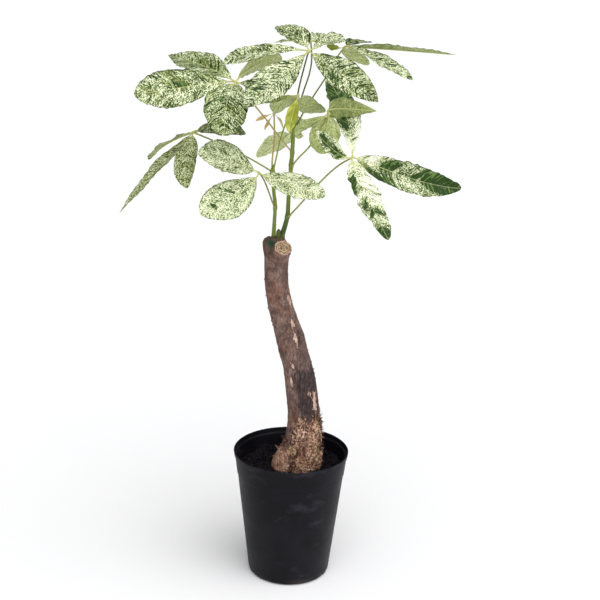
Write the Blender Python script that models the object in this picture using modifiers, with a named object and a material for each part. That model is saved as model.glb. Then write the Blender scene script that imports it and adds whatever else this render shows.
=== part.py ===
"""A potted money tree: a thick trunk in a nursery pot, with two green shoots and eleven palmate leaves."""

import math
from collections import namedtuple

import bmesh
import bpy
from mathutils import Matrix, Vector, noise

# Every size below is in millimetres, and MM turns it into metres
MM = 0.001
GAP = 0.3

# Pot: a tapered shell with a proud lip, a shallow band under it, a flat foot and drain notches
POT_HEIGHT = 206.0
RIM_RADIUS = 90.0
LIP_HEIGHT = 9.0
LIP_PROUD = 2.2
BAND_HEIGHT = 36.0
BAND_PROUD = 0.9
FOOT_RADIUS = 57.0
CORNER_HEIGHT = 7.0
CORNER_STEPS = 3
WALL_FOOT_RADIUS = 64.5
WALL = 2.0
EDGE_ROUND = 1.0
POT_STEPS = 64
DRAIN_NOTCHES = 3
NOTCH_SIZE = (7.0, 12.0, 6.5)
FLOOR_HOLES = 6
FLOOR_HOLE_RADIUS = 4.0
FLOOR_HOLE_CIRCLE = 34.0
FLOOR_HOLE_SIDES = 12

# Soil: fills the pot to a little under the rim, with a plain hole for the trunk's foot
SOIL_LEVEL = 178.0
SOIL_STEPS = 44
SOIL_RINGS = 9
SOIL_LUMP = 4.0
LUMP_SPACING = 17.0
LUMP_FALLOFF = 0.9
LUMP_DETAIL = 2.1
LUMP_OCTAVES = 3
HOLE_RADIUS = 27.0
HOLE_SIDES = 32
COLLAR_REACH = 42.0

# Trunk: rings from the foot to the top, each with its centre x, y, z and its diameter
TRUNK_RINGS = [
    (12, 0, 134, 50),
    (12, 0, 160, 51),
    (12, 0, 178.2, 53),
    (11, 0, 180, 62),
    (12, 0, 190, 62),
    (15, 0, 203, 61),
    (18, 0, 219, 57),
    (19, 1, 234, 54),
    (18.5, 2, 262, 49.5),
    (16, 3, 286, 49.5),
    (12.5, 4, 314, 48.5),
    (7, 5, 342, 46.5),
    (-1, 5, 371, 45.5),
    (-7.5, 4, 397, 44),
    (-16.5, 3, 424, 41.5),
    (-23, 2, 448, 38.5),
    (-27.5, 1, 472, 36.5),
    (-29, 1, 493, 36),
    (-29, 3, 512, 36.5),
    (-29, 6, 529, 34),
    (-28, 8, 540, 27),
    (-28, 9, 546, 16),
]
COLLAR_FOOT = 180.0
TRUNK_SIDES = 24
BARK_BUMP = 1.3
BARK_GRAIN = 28.0
BARK_ROUND = 1.6
# Roots that swell out of the collar: heading in degrees, reach, height above the soil, half width in degrees
ROOTS = [(200, 12, 42, 36), (345, 6, 34, 34), (95, 8, 30, 40), (275, 3, 24, 30)]
# The cut end of the old main stem faces forward and up, and a knob stands behind it on the left
STUB_FOOT = (-25, 2, 512)
STUB_END = (-19, -14, 536)
STUB_RADIUS = 13.5
KNOB_FOOT = (-36, 4, 505)
KNOB_MIDDLE = (-38.5, 4.5, 523.5)
KNOB_END = (-41, 5, 542)
KNOB_TOP = (-41, 5, 547)
KNOB_RADII = [9.5, 10.0, 9.0, 5.2]

# Shoots: x, y, z and radius, from the socket in the trunk's top to the tip
SHOOTS = {
    "shoot_left": [
        (-34, 9, 534, 3.4),
        (-34, 6, 552, 3.4),
        (-33, 0, 575, 2.9),
        (-32.5, -2, 598, 2.9),
        (-35, -3, 620, 2.8),
        (-37, -3, 643, 2.9),
        (-37, -3, 653, 2.6),
    ],
    "shoot_right": [
        (-23, 10, 534, 3.8),
        (-20.5, 8, 552, 4.0),
        (-14, 4, 580, 3.5),
        (-13, 3, 605, 3.2),
        (-10.5, 3, 652, 3.2),
        (-9, 2, 677, 3.1),
        (-8, 2, 700, 2.9),
        (-7, 2, 720, 2.7),
    ],
}

# Leaves
PETIOLE_RADIUS = 1.25
HUB_RADIUS = 2.4
BLADE_THICKNESS = 0.8
STALK_LENGTH = 7.0
STALK_WIDTH = 2.2
BLADE_STATIONS = [0.0, 0.14, 0.3, 0.48, 0.66, 0.82, 0.94]
BLADE_COLUMNS = 4
FOLD_DEGREES = 9.0
WAVES_PER_BLADE = 2.5
WAVE_SHIFT = 1.3
WIDEST_SHIFT = 1.2

# A leaflet's heading is its compass angle from +X towards +Y and its rise the angle above level, in degrees.
# Roll turns the blade about its midrib. Arch is how far the midrib bows up and bend how far it bows aside.
# Wave is the height of the ripples at the blade's edge, and point is high for a tapered tip.
# Lean moves the top of the bow, and belly the widest place: under 1 towards the hub, over 1 towards the tip.
Leaflet = namedtuple(
    "Leaflet",
    "heading rise length width roll arch wave point bend lean belly",
    defaults=(1.5, 0.75, 0, 1.0, WIDEST_SHIFT),
)
Leaf = namedtuple("Leaf", "shoot petiole leaflets")

LEAVES = {
    "leaf_a": Leaf(
        "shoot_right",
        [(-8, 0, 716), (-5, -3, 740), (-2, -5, 768), (5, -8, 800), (11, -10, 824)],
        [
            Leaflet(143, 26, 68, 39, 20, 3, 0.8, 0.67, 8, 0.83, 0.9),
            Leaflet(172, -9, 124, 30, 42, 10, 0.5, 0.41, 0, 0.83, 2.00),
            Leaflet(225, -30, 139, 56, 25, 5, 1.3, 0.75, -4, 1.02, 1.43),
            Leaflet(321, -25, 138, 46, -42, 8, 1.7, 0.78, 2, 1.10, 1.14),
            Leaflet(44, 14, 60, 26, -12, 2),
        ],
    ),
    "leaf_b": Leaf(
        "shoot_right",
        [(-6, 2, 711), (4, 11, 730), (20, 24, 756), (37, 41, 781), (54, 58, 810), (64, 66, 823)],
        [
            Leaflet(346, -1, 166, 38, 16, 2, 0.5, 0.85, 1, 0.5, 0.88),
            Leaflet(331, -19, 119, 36, -12, 9, 1.0, 0.68, 5, 0.54, 1.32),
            Leaflet(54, -26, 71, 28, 20, 2, 0.5, 0.4, -5, 1.08, 0.92),
            Leaflet(45, 4, 56, 38, -3, 3, 0.9, 0.68, -3, 0.99, 1.03),
            Leaflet(163, 2, 28, 14, 32, -3, 1.0),
        ],
    ),
    "leaf_c": Leaf(
        "shoot_right",
        [(-9, 2, 676), (-19, -1, 688), (-33, -6, 706), (-48, -11, 726), (-74, -20, 758), (-91, -25, 780)],
        [
            Leaflet(211, -4, 156, 55, 63, -12, 1.7, 0.59, 6, 0.5, 1.46),
            Leaflet(145, 12, 130, 54, 22, 7, 1.3, 1.00, -1.5, 0.87, 0.94),
            Leaflet(261, -43, 96, 62, 6, 9, 2.8, 0.44, 5, 0.88, 1.21),
            Leaflet(58, 10, 121, 47, 55, 9, 0.6, 0.62, 4, 0.92, 0.94),
            Leaflet(50, -30, 54, 30, -40, 5),
        ],
    ),
    "leaf_d": Leaf(
        "shoot_left",
        [(-37, -2, 646), (-46, 0, 652), (-74, 7, 666), (-116, 16, 684), (-156, 20, 699)],
        [
            Leaflet(201, -46, 163, 31, 9, 4, 1.4, 1.04, -2, 1.21, 0.76),
            Leaflet(136, -29, 117, 38, 14, 6, 1.8, 0.64, 0, 1.04, 1.09),
            Leaflet(268, -46, 97, 34, -10, -1, 1.2, 0.6, 7, 1.60, 0.97),
            Leaflet(350, 1, 80, 43, -22, 8, 1.2, 0.71, 0, 0.89, 0.95),
            Leaflet(69, -9, 103, 40, 20, 4),
        ],
    ),
    "leaf_e": Leaf(
        "shoot_left",
        [(-33, -3, 594), (-37, -12, 606), (-43, -26, 626), (-49, -40, 644), (-56, -50, 656)],
        [
            Leaflet(198, 19, 94, 64, 36, 6, 0.5, 0.64, -1, 1.29, 1.18),
            Leaflet(222, -25, 114, 56, 49, -5, 1.1, 0.6, -7, 0.64, 1.27),
            Leaflet(344, -15, 103, 44, -36, -6, 0.5, 0.57, -2, 0.52, 1.17),
        ],
    ),
    "leaf_f": Leaf(
        "shoot_right",
        [(-12, 2, 580), (2, -11, 599), (33, -34, 641), (56, -49, 667), (77, -60, 683)],
        [
            Leaflet(351, -13, 159, 41, -75, -3, 2.5, 0.55, 6, 1.43, 1.01),
            Leaflet(303, -47, 136, 38, -6, 4, 2.0, 0.52, 7, 0.5, 0.86),
            Leaflet(112, 44, 141, 41, 4, 4, 0.7, 0.67, 9, 1.03, 1.20),
            Leaflet(197, 34, 67, 33, 46, -4, 0.5, 0.67, -6, 0.64, 0.97),
        ],
    ),
    "leaf_g": Leaf(
        "shoot_right",
        [(-9, 2, 655), (0, -10, 670), (16, -27, 691), (32, -46, 722), (42, -62, 744)],
        [
            Leaflet(38, -2, 88, 32, 75, 14, 2.6, 0.81, 1, 0.5, 0.5),
            Leaflet(104, -64, 70, 45, -4, 6, 1.0, 0.48, 1, 0.84, 1.28),
            Leaflet(146, -33, 68, 31, -17, 2, 0.7, 0.83, -1, 1.11, 1.19),
        ],
    ),
    "leaf_h": Leaf(
        "shoot_left",
        [(-36, -5, 649), (-32, -12, 670), (-25, -24, 704), (-12, -36, 744), (-2, -42, 766)],
        [
            Leaflet(34, -30, 54, 35, 39, 2, 1.0, 0.51, -12, 1.06, 0.71),
            Leaflet(147, -38, 49, 42, -18, 6, 1.5, 0.5),
            Leaflet(203, -12, 51, 13, 22, 2, 0.8, 1.0),
            Leaflet(250, -53, 60, 18, 10, 4, 0.8),
        ],
    ),
    "leaf_i": Leaf(
        "shoot_left",
        [(-38, -1, 650), (-38, 3, 664), (-36, 7, 690), (-36, 8, 712), (-37, 8, 732)],
        [
            Leaflet(216, -17, 34, 8, 24, 1, 0.4, 1.0),
            Leaflet(236, -46, 32, 8, -18, 1, 0.4, 1.0),
            Leaflet(309, -42, 31, 14, 60, 2, 0.4, 0.9),
        ],
    ),
    "leaf_j": Leaf(
        "shoot_right",
        [(-10, 4, 660), (-10, 27, 667), (-11, 54, 682), (-12, 78, 694)],
        [
            Leaflet(146, -37, 80, 38, -32, 3, 1.0, 0.62, 5, 0.99, 0.76),
            Leaflet(78, 4, 84, 42, -15, 5),
            Leaflet(71, -27, 36, 24, -8, 3),
        ],
    ),
    "leaf_k": Leaf(
        "shoot_right",
        [(-7, 4, 717), (-3, 13, 734), (5, 39, 760), (13, 63, 783), (16, 78, 803), (14, 85, 829)],
        [
            Leaflet(58, 0, 70, 47, -15, -1, 0.7, 0.62, 0, 0.95, 1.14),
            Leaflet(335, 4, 56, 32, -28, 2),
            Leaflet(160, -6, 60, 22, 5, 2, 1.5, 1.0),
            Leaflet(100, -4, 100, 42, -20, 7),
        ],
    ),
}


def metres(point):
    """A point given in millimetres, as a vector in metres."""
    return Vector(point[:3]) * MM


def clear_scene():
    for existing in list(bpy.data.objects):
        bpy.data.objects.remove(existing, do_unlink=True)


def new_collection(name):
    collection = bpy.data.collections.new(name)
    bpy.context.scene.collection.children.link(collection)
    return collection


def new_material(name, colour, roughness):
    material = bpy.data.materials.new(name)
    material.use_nodes = True
    shader = material.node_tree.nodes["Principled BSDF"]
    shader.inputs["Base Color"].default_value = (*colour, 1.0)
    shader.inputs["Roughness"].default_value = roughness
    material.diffuse_color = (*colour, 1.0)
    return material


def add_object(name, mesh, collection, material=None):
    made = bpy.data.objects.new(name, mesh)
    collection.objects.link(made)
    if material:
        mesh.materials.clear()
        mesh.materials.append(material)
    return made


def mesh_from_bmesh(name, shape):
    mesh = bpy.data.meshes.new(name)
    shape.to_mesh(mesh)
    shape.free()
    return mesh


def shade(made, degrees=40):
    made.data.shade_smooth()
    made.data.set_sharp_from_angle(angle=math.radians(degrees))


def evaluated_mesh(made):
    """The object's mesh with its modifiers applied."""
    graph = bpy.context.evaluated_depsgraph_get()
    return bpy.data.meshes.new_from_object(made.evaluated_get(graph))


def apply_modifiers(made):
    mesh = evaluated_mesh(made)
    made.modifiers.clear()
    made.data = mesh


def add_boolean(made, operation, cutter=None, collection=None, solver="EXACT"):
    modifier = made.modifiers.new(operation.lower(), "BOOLEAN")
    modifier.operation = operation
    modifier.solver = solver
    if collection:
        modifier.operand_type = "COLLECTION"
        modifier.collection = collection
    else:
        modifier.object = cutter
    return modifier


def hide_cutter(cutter):
    cutter.hide_render = True
    cutter.display_type = "WIRE"


def turned(name, profile, steps, collection, material=None):
    """A solid turned about Z from (radius, height) points in millimetres."""
    mesh = bpy.data.meshes.new(name)
    points = [(radius * MM, 0.0, height * MM) for radius, height in profile]
    edges = [(index, index + 1) for index in range(len(points) - 1)]
    mesh.from_pydata(points, edges, [])
    made = add_object(name, mesh, collection, material)
    screw = made.modifiers.new("turn", "SCREW")
    screw.steps = steps
    screw.render_steps = steps
    screw.use_merge_vertices = True
    screw.merge_threshold = 0.00002
    return made


def tube(name, points, radii, collection, material=None):
    """A round bar through points in millimetres, as a closed mesh."""
    curve = bpy.data.curves.new(name + "_line", "CURVE")
    curve.dimensions = "3D"
    curve.bevel_depth = MM
    curve.bevel_resolution = 2
    curve.use_fill_caps = True
    spline = curve.splines.new("POLY")
    spline.points.add(len(points) - 1)
    for knot, point, radius in zip(spline.points, points, radii):
        knot.co = (*metres(point), 1.0)
        knot.radius = radius
    line = add_object(name + "_line", curve, collection)
    mesh = evaluated_mesh(line)
    bpy.data.objects.remove(line, do_unlink=True)
    shape = bmesh.new()
    shape.from_mesh(mesh)
    bmesh.ops.remove_doubles(shape, verts=shape.verts, dist=0.000001)
    bmesh.ops.recalc_face_normals(shape, faces=shape.faces)
    shape.to_mesh(mesh)
    shape.free()
    return add_object(name, mesh, collection, material)


def loft(rings, name, collection, material=None):
    """A closed solid through rings of equally many points, with flat ends."""
    shape = bmesh.new()
    loops = [[shape.verts.new(point) for point in ring] for ring in rings]
    sides = len(loops[0])
    for lower, upper in zip(loops, loops[1:]):
        for index in range(sides):
            after = (index + 1) % sides
            shape.faces.new((lower[index], lower[after], upper[after], upper[index]))
    shape.faces.new(list(reversed(loops[0])))
    shape.faces.new(loops[-1])
    bmesh.ops.recalc_face_normals(shape, faces=shape.faces)
    return add_object(name, mesh_from_bmesh(name, shape), collection, material)


def wall_radius(height):
    """The pot's outer wall radius at a height, without its lip and band."""
    share = (height - CORNER_HEIGHT) / (POT_HEIGHT - CORNER_HEIGHT)
    return WALL_FOOT_RADIUS + (RIM_RADIUS - LIP_PROUD - WALL_FOOT_RADIUS) * share


def foot_corner(inset, floor):
    """The rounded corner between wall and foot as (radius, height), from the wall down."""
    reach = WALL_FOOT_RADIUS - FOOT_RADIUS
    corner = []
    for step in range(CORNER_STEPS + 1):
        angle = math.radians(90.0 * step / CORNER_STEPS)
        radius = FOOT_RADIUS - inset + reach * math.cos(angle)
        corner.append((radius, floor + (CORNER_HEIGHT - floor) * (1.0 - math.sin(angle))))
    return corner


def make_pot(parts, cutters, material):
    lip_foot = POT_HEIGHT - LIP_HEIGHT
    band_foot = POT_HEIGHT - BAND_HEIGHT
    under_lip = wall_radius(lip_foot)
    rim_middle = (RIM_RADIUS - EDGE_ROUND, POT_HEIGHT)
    outside = [
        rim_middle,
        (RIM_RADIUS, POT_HEIGHT - EDGE_ROUND),
        (under_lip + LIP_PROUD, lip_foot + EDGE_ROUND),
        (under_lip + BAND_PROUD, lip_foot),
        (wall_radius(band_foot) + BAND_PROUD, band_foot),
        (wall_radius(band_foot - BAND_PROUD), band_foot - BAND_PROUD),
    ]
    floor = [(0.0, 0.0), (0.0, WALL)]
    inside = [
        (under_lip - WALL, lip_foot),
        (under_lip + LIP_PROUD - WALL, lip_foot + LIP_PROUD),
        (RIM_RADIUS - WALL, POT_HEIGHT - EDGE_ROUND),
        rim_middle,
    ]
    inner_corner = list(reversed(foot_corner(WALL, WALL)))
    profile = outside + foot_corner(0.0, 0.0) + floor + inner_corner + inside
    pot = turned("pot", profile, POT_STEPS, parts, material)
    drains = add_object("drains", drain_mesh(), cutters)
    hide_cutter(drains)
    add_boolean(pot, "DIFFERENCE", cutter=drains)
    apply_modifiers(pot)
    shade(pot)


def drain_mesh():
    """The notches round the pot's foot and the round holes in its floor."""
    width, depth, height = NOTCH_SIZE
    shape = bmesh.new()
    for index in range(DRAIN_NOTCHES):
        turn = Matrix.Rotation(2 * math.pi * index / DRAIN_NOTCHES, 4, "Z")
        place = Matrix.Translation((0, (WALL_FOOT_RADIUS - WALL) * MM, 0))
        size = Matrix.Diagonal((width * MM, depth * MM, 2 * height * MM, 1))
        bmesh.ops.create_cube(shape, size=1.0, matrix=turn @ place @ size)
    for index in range(FLOOR_HOLES):
        turn = Matrix.Rotation(2 * math.pi * (index + 0.5) / FLOOR_HOLES, 4, "Z")
        place = Matrix.Translation((0, FLOOR_HOLE_CIRCLE * MM, 0))
        bmesh.ops.create_cone(
            shape,
            cap_ends=True,
            segments=FLOOR_HOLE_SIDES,
            radius1=FLOOR_HOLE_RADIUS * MM,
            radius2=FLOOR_HOLE_RADIUS * MM,
            depth=4 * WALL * MM,
            matrix=turn @ place,
        )
    return mesh_from_bmesh("drains", shape)


def soil_height(x, y):
    """How far the soil's surface stands above or below its level at a place, in millimetres."""
    place = Vector((x / LUMP_SPACING, y / LUMP_SPACING, 0.5))
    from_trunk = math.hypot(x - TRUNK_RINGS[0][0], y - TRUNK_RINGS[0][1])
    loose = min(1.0, max(0.0, (from_trunk - COLLAR_REACH) / LUMP_SPACING))
    return loose * SOIL_LUMP * noise.fractal(place, LUMP_FALLOFF, LUMP_DETAIL, LUMP_OCTAVES)


def make_soil(parts, cutters, material):
    top_radius = wall_radius(SOIL_LEVEL) - WALL - GAP
    surface = [(top_radius * index / SOIL_RINGS, SOIL_LEVEL) for index in range(SOIL_RINGS + 1)]
    foot = foot_corner(WALL + GAP, WALL + GAP)
    soil = turned("soil", surface + foot + [(0.0, WALL + GAP)], SOIL_STEPS, parts, material)
    apply_modifiers(soil)
    edge = (top_radius - EDGE_ROUND) * MM
    for vertex in soil.data.vertices:
        on_top = vertex.co.z > (SOIL_LEVEL - EDGE_ROUND) * MM
        if on_top and vertex.co.xy.length < edge:
            vertex.co.z += soil_height(vertex.co.x / MM, vertex.co.y / MM) * MM
    add_boolean(soil, "DIFFERENCE", cutter=trunk_hole(cutters))
    shade(soil, 60)


def trunk_hole(cutters):
    """A plain round cutter for the trunk's foot, open at the top."""
    x, y, foot, _ = TRUNK_RINGS[0]
    low = foot - GAP
    high = SOIL_LEVEL + HOLE_RADIUS
    shape = bmesh.new()
    bmesh.ops.create_cone(
        shape,
        cap_ends=True,
        segments=HOLE_SIDES,
        radius1=HOLE_RADIUS * MM,
        radius2=HOLE_RADIUS * MM,
        depth=(high - low) * MM,
        matrix=Matrix.Translation(metres((x, y, (low + high) / 2))),
    )
    cutter = add_object("trunk_hole", mesh_from_bmesh("trunk_hole", shape), cutters)
    hide_cutter(cutter)
    return cutter


def root_swell(angle, height):
    """How far the roots push the collar out at a heading and a height above the soil."""
    swell = 0.0
    for heading, reach, tall, half_width in ROOTS:
        off = (math.degrees(angle) - heading + 180.0) % 360.0 - 180.0
        around = math.exp(-((off / half_width) ** 2))
        swell += reach * around * max(0.0, 1.0 - (height / tall) ** 2)
    return swell


def trunk_ring(x, y, z, diameter):
    ring = []
    for index in range(TRUNK_SIDES):
        angle = 2 * math.pi * index / TRUNK_SIDES
        radius = diameter / 2
        if z >= COLLAR_FOOT:
            radius += root_swell(angle, z - COLLAR_FOOT)
            place = Vector((math.cos(angle) * BARK_ROUND, math.sin(angle) * BARK_ROUND, z / BARK_GRAIN))
            radius += BARK_BUMP * noise.noise(place)
        ring.append(metres((x + radius * math.cos(angle), y + radius * math.sin(angle), z)))
    return ring


def make_trunk(parts, joined, material):
    trunk = loft([trunk_ring(*ring) for ring in TRUNK_RINGS], "trunk", parts, material)
    tube("stub", [STUB_FOOT, STUB_END], [STUB_RADIUS, STUB_RADIUS], joined)
    tube("knob", [KNOB_FOOT, KNOB_MIDDLE, KNOB_END, KNOB_TOP], KNOB_RADII, joined)
    join_collection(trunk, joined)
    return trunk


def join_collection(made, joined, solver="EXACT"):
    """Fuses every object of a collection into one object, then removes them."""
    add_boolean(made, "UNION", collection=joined, solver=solver)
    apply_modifiers(made)
    for used in list(joined.objects):
        bpy.data.objects.remove(used, do_unlink=True)


def make_shoot(name, parts, material):
    points = SHOOTS[name]
    shoot = tube(name, points, [point[3] for point in points], parts, material)
    shade(shoot, 60)
    return shoot


def shoot_cutter(name, cutters):
    """The shoot with the gap that its neighbours keep all round it."""
    points = SHOOTS[name]
    cutter = tube(name + "_gap", points, [point[3] + GAP for point in points], cutters)
    hide_cutter(cutter)
    return cutter


def cut_sockets(trunk, cutters):
    """Plain sockets in the trunk's top, which the shoots stand in."""
    for name, points in SHOOTS.items():
        foot = Vector(points[0][:3])
        rise = (Vector(points[1][:3]) - foot).normalized()
        line = [foot - rise * GAP, *[Vector(point[:3]) for point in points[1:3]]]
        radii = [point[3] + GAP for point in points[:3]]
        socket = tube(name + "_socket", line, radii, cutters)
        hide_cutter(socket)
        add_boolean(trunk, "DIFFERENCE", cutter=socket)
    apply_modifiers(trunk)
    shade(trunk, 50)


def blade_half_width(leaflet, along):
    """Half the blade's width at a share of the way from the hub to the tip."""
    stalk = STALK_LENGTH / leaflet.length
    if along <= stalk:
        return STALK_WIDTH / 2
    share = (along - stalk) / (1.0 - stalk)
    swell = math.sin(math.pi * share**leaflet.belly) ** leaflet.point
    return max(leaflet.width / 2 * swell, STALK_WIDTH / 2 * (1.0 - share))


def blade_axes(leaflet):
    """The unit vectors along the midrib, across the blade and up from its upper face."""
    heading = math.radians(leaflet.heading)
    rise = math.radians(leaflet.rise)
    ahead = Vector((math.cos(rise) * math.cos(heading), math.cos(rise) * math.sin(heading), math.sin(rise)))
    across = ahead.cross(Vector((0, 0, 1))).normalized()
    turn = Matrix.Rotation(math.radians(-leaflet.roll), 3, ahead)
    across = turn @ across
    return ahead, across, across.cross(ahead)


def blade_point(leaflet, hub, axes, along, side):
    """A point of the blade, at a share along the midrib and a share from it to the edge on either side."""
    ahead, across, above = axes
    eased = along**leaflet.lean
    bow = 4.0 * eased * (1.0 - eased)
    half_width = blade_half_width(leaflet, along)
    offset = side * half_width
    shift = WAVE_SHIFT if side > 0 else 0.0
    ripple = math.sin(2 * math.pi * WAVES_PER_BLADE * along + shift)
    fullness = half_width / (leaflet.width / 2)
    lift = abs(offset) * math.tan(math.radians(FOLD_DEGREES)) + leaflet.wave * ripple * side**2 * fullness
    point = Vector(hub) + ahead * leaflet.length * along
    point += above * (leaflet.arch * bow + lift)
    point += across * (offset + leaflet.bend * bow)
    return point * MM


def make_blade(name, leaflet, hub, joined):
    """A thin waved blade, split into triangles before it is given its thickness."""
    axes = blade_axes(leaflet)
    stalk = STALK_LENGTH / leaflet.length
    stations = [0.0] + [stalk + (1.0 - stalk) * share for share in BLADE_STATIONS]
    sides = [2.0 * column / BLADE_COLUMNS - 1.0 for column in range(BLADE_COLUMNS + 1)]
    shape = bmesh.new()
    grid = []
    for along in stations:
        grid.append([shape.verts.new(blade_point(leaflet, hub, axes, along, side)) for side in sides])
    tip = shape.verts.new(blade_point(leaflet, hub, axes, 1.0, 0.0))
    for lower, upper in zip(grid, grid[1:]):
        for column in range(BLADE_COLUMNS):
            shape.faces.new((lower[column], lower[column + 1], upper[column + 1], upper[column]))
    for column in range(BLADE_COLUMNS):
        shape.faces.new((grid[-1][column], grid[-1][column + 1], tip))
    bmesh.ops.triangulate(shape, faces=shape.faces)
    blade = add_object(name, mesh_from_bmesh(name, shape), joined)
    solidify = blade.modifiers.new("thickness", "SOLIDIFY")
    solidify.thickness = BLADE_THICKNESS * MM
    solidify.offset = 0.0
    return blade


def make_leaf(name, leaf, parts, joined, gaps, material):
    petiole = tube(name, leaf.petiole, [PETIOLE_RADIUS] * len(leaf.petiole), parts, material)
    hub = leaf.petiole[-1]
    shape = bmesh.new()
    place = Matrix.Translation(metres(hub))
    bmesh.ops.create_icosphere(shape, subdivisions=1, radius=HUB_RADIUS * MM, matrix=place)
    add_object(name + "_hub", mesh_from_bmesh(name + "_hub", shape), joined)
    for index, leaflet in enumerate(leaf.leaflets):
        make_blade(f"{name}_blade_{index}", leaflet, hub, joined)
    join_collection(petiole, joined, solver="MANIFOLD")
    add_boolean(petiole, "DIFFERENCE", cutter=gaps[leaf.shoot])
    shade(petiole, 60)
    return petiole


def main():
    clear_scene()
    parts = new_collection("money_tree")
    cutters = new_collection("cutters")
    joined = new_collection("joined")
    plastic = new_material("black_plastic", (0.018, 0.018, 0.022), 0.45)
    earth = new_material("potting_soil", (0.030, 0.024, 0.020), 0.95)
    bark = new_material("bark", (0.20, 0.13, 0.10), 0.9)
    stem = new_material("green_stem", (0.16, 0.27, 0.05), 0.45)
    foliage = new_material("variegated_leaf", (0.52, 0.62, 0.36), 0.5)
    make_pot(parts, cutters, plastic)
    make_soil(parts, cutters, earth)
    trunk = make_trunk(parts, joined, bark)
    cut_sockets(trunk, cutters)
    gaps = {}
    for name in SHOOTS:
        make_shoot(name, parts, stem)
        gaps[name] = shoot_cutter(name, cutters)
    for name, leaf in LEAVES.items():
        make_leaf(name, leaf, parts, joined, gaps, foliage)


main()
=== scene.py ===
"""Looks of the potted money tree: its leaves, shoots, bark, soil and pot, and the studio."""

import itertools
import math
from collections import namedtuple

import bpy
import numpy as np
from mathutils import Matrix

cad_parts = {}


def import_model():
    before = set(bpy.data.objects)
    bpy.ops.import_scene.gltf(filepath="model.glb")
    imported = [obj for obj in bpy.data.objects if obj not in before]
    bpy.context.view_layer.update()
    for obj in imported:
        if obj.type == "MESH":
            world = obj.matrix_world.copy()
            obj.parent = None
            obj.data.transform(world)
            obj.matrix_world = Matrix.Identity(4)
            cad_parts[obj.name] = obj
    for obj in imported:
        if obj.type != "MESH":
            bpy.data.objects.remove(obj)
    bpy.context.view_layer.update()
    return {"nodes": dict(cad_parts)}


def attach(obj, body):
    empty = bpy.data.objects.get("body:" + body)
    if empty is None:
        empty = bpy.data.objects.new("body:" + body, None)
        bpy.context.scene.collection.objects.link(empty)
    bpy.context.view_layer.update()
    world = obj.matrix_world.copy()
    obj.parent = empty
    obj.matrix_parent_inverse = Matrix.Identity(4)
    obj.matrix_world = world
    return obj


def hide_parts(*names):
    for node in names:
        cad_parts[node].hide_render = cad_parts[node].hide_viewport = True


# Every size below is in millimetres, and MM turns it into metres
MM = 0.001

# Camera and light
CAMERA_PLACE = (7.9, -1807.0, 1011.0)
CAMERA_PITCH = 17.21
CAMERA_ROLL = 1.49
CAMERA_LENS = 75.0
SENSOR_WIDTH = 36.0
CLIP_END = 50000.0
FLOOR_SIZE = 80000.0
KEY_DIRECTION = (0.3, -0.6, 0.8)
KEY_EDGE = 0.5
KEY_LIGHT = 2.75
ROOM_LIGHT = 0.28

# Pot and soil, as in the solids
POT_HEIGHT = 206.0
RIM_RADIUS = 90.0
LIP_PROUD = 2.2
FOOT_RADIUS = 57.0
CORNER_HEIGHT = 7.0
# The notches in the pot's foot, whose insides are painted with shade: headings, half width, height and reach
# from the axis
NOTCH_HEADINGS = (90, 210, 330)
NOTCH_HALF_WIDTH = 3.5
NOTCH_HEIGHT = 6.5
NOTCH_REACH = (FOOT_RADIUS - 12.0, FOOT_RADIUS - 8.0)
# The pot is shaded smooth apart from edges sharper than this
SHARP_DEGREES = 30.0
# Corners of the pot this near to each other are joined first, in metres
WELD_DISTANCE = 1e-6
WALL_FOOT_RADIUS = 64.5
WALL = 2.0
GAP = 0.3
SOIL_LEVEL = 178.0
SOIL_ROWS = 80
SOIL_COLUMNS = 220
SOIL_LUMP = 4.5
CRUMBS = 900
CRUMB_SEED = 123
CRUMB_SIZE = (1.0, 5.0)
# No crumbs lie nearer than this to the middle of the trunk
BARE_SOIL = 30.0

# Trunk: rings from the foot to the top, each with its centre x, y, z and its diameter
TRUNK_RINGS = [
    (12, 0, 134, 50),
    (12, 0, 160, 51),
    (12, 0, 174, 56),
    (11, 0, 180, 61),
    (12, 0, 190, 62),
    (15, 0, 203, 61),
    (18, 0, 219, 57),
    (19, 1, 234, 54),
    (18.5, 2, 262, 49.5),
    (16, 3, 286, 49.5),
    (12.5, 4, 314, 48.5),
    (7, 5, 342, 46.5),
    (-1, 5, 371, 45.5),
    (-7.5, 4, 397, 44),
    (-16.5, 3, 424, 41.5),
    (-23, 2, 448, 38.5),
    (-27.5, 1, 472, 36.5),
    (-29, 1, 493, 36),
    (-29, 3, 512, 36.5),
    (-29, 6, 529, 34),
    (-28, 8, 540, 27),
    (-28, 9, 546, 16),
]
TRUNK_SAMPLES = 1500
COLLAR_FOOT = 180.0
COLLAR_TOP = 266.0
COLLAR_BACK_TOP = 214.0
# The headings between which the collar climbs to its top in front and falls to its lower top behind
COLLAR_FRONT = (218.0, 240.0)
COLLAR_BACK = (30.0, 60.0)
# The rows of the skin's mesh: lowest height, highest height and count
TRUNK_ROWS = [(162.0, 177.0, 8), (177.7, 276.0, 160), (277.0, 546.0, 270)]
TRUNK_COLUMNS = 190
# The roots: heading in degrees, how far each swells the skin, how high it climbs and half its width in
# degrees. They swell it only above the swell's foot.
SWELL_FOOT = 176.0
ROOTS = [(200, 12, 42, 36), (345, 6, 34, 34), (95, 8, 30, 40), (275, 3, 24, 30)]
# The crease beside the left root: its heading at the collar's foot, and the heights where it ends
CREASE_HEADING = 247.0
CREASE_END = (205.0, 232.0)
# Dark slate bark low in front, and painted shade down the right side higher up: the middle and spread of
# their headings, and the heights where each starts and ends. Creases ring the front under the cut stub.
FRONT = (300.0, 60.0)
FRONT_SHADE = ((245.0, 265.0), (336.0, 356.0))
RIGHT = (318.0, 34.0)
RIGHT_SHADE = ((330.0, 350.0), (400.0, 440.0))
UNDER_STUB = (492.0, 502.0)
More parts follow.
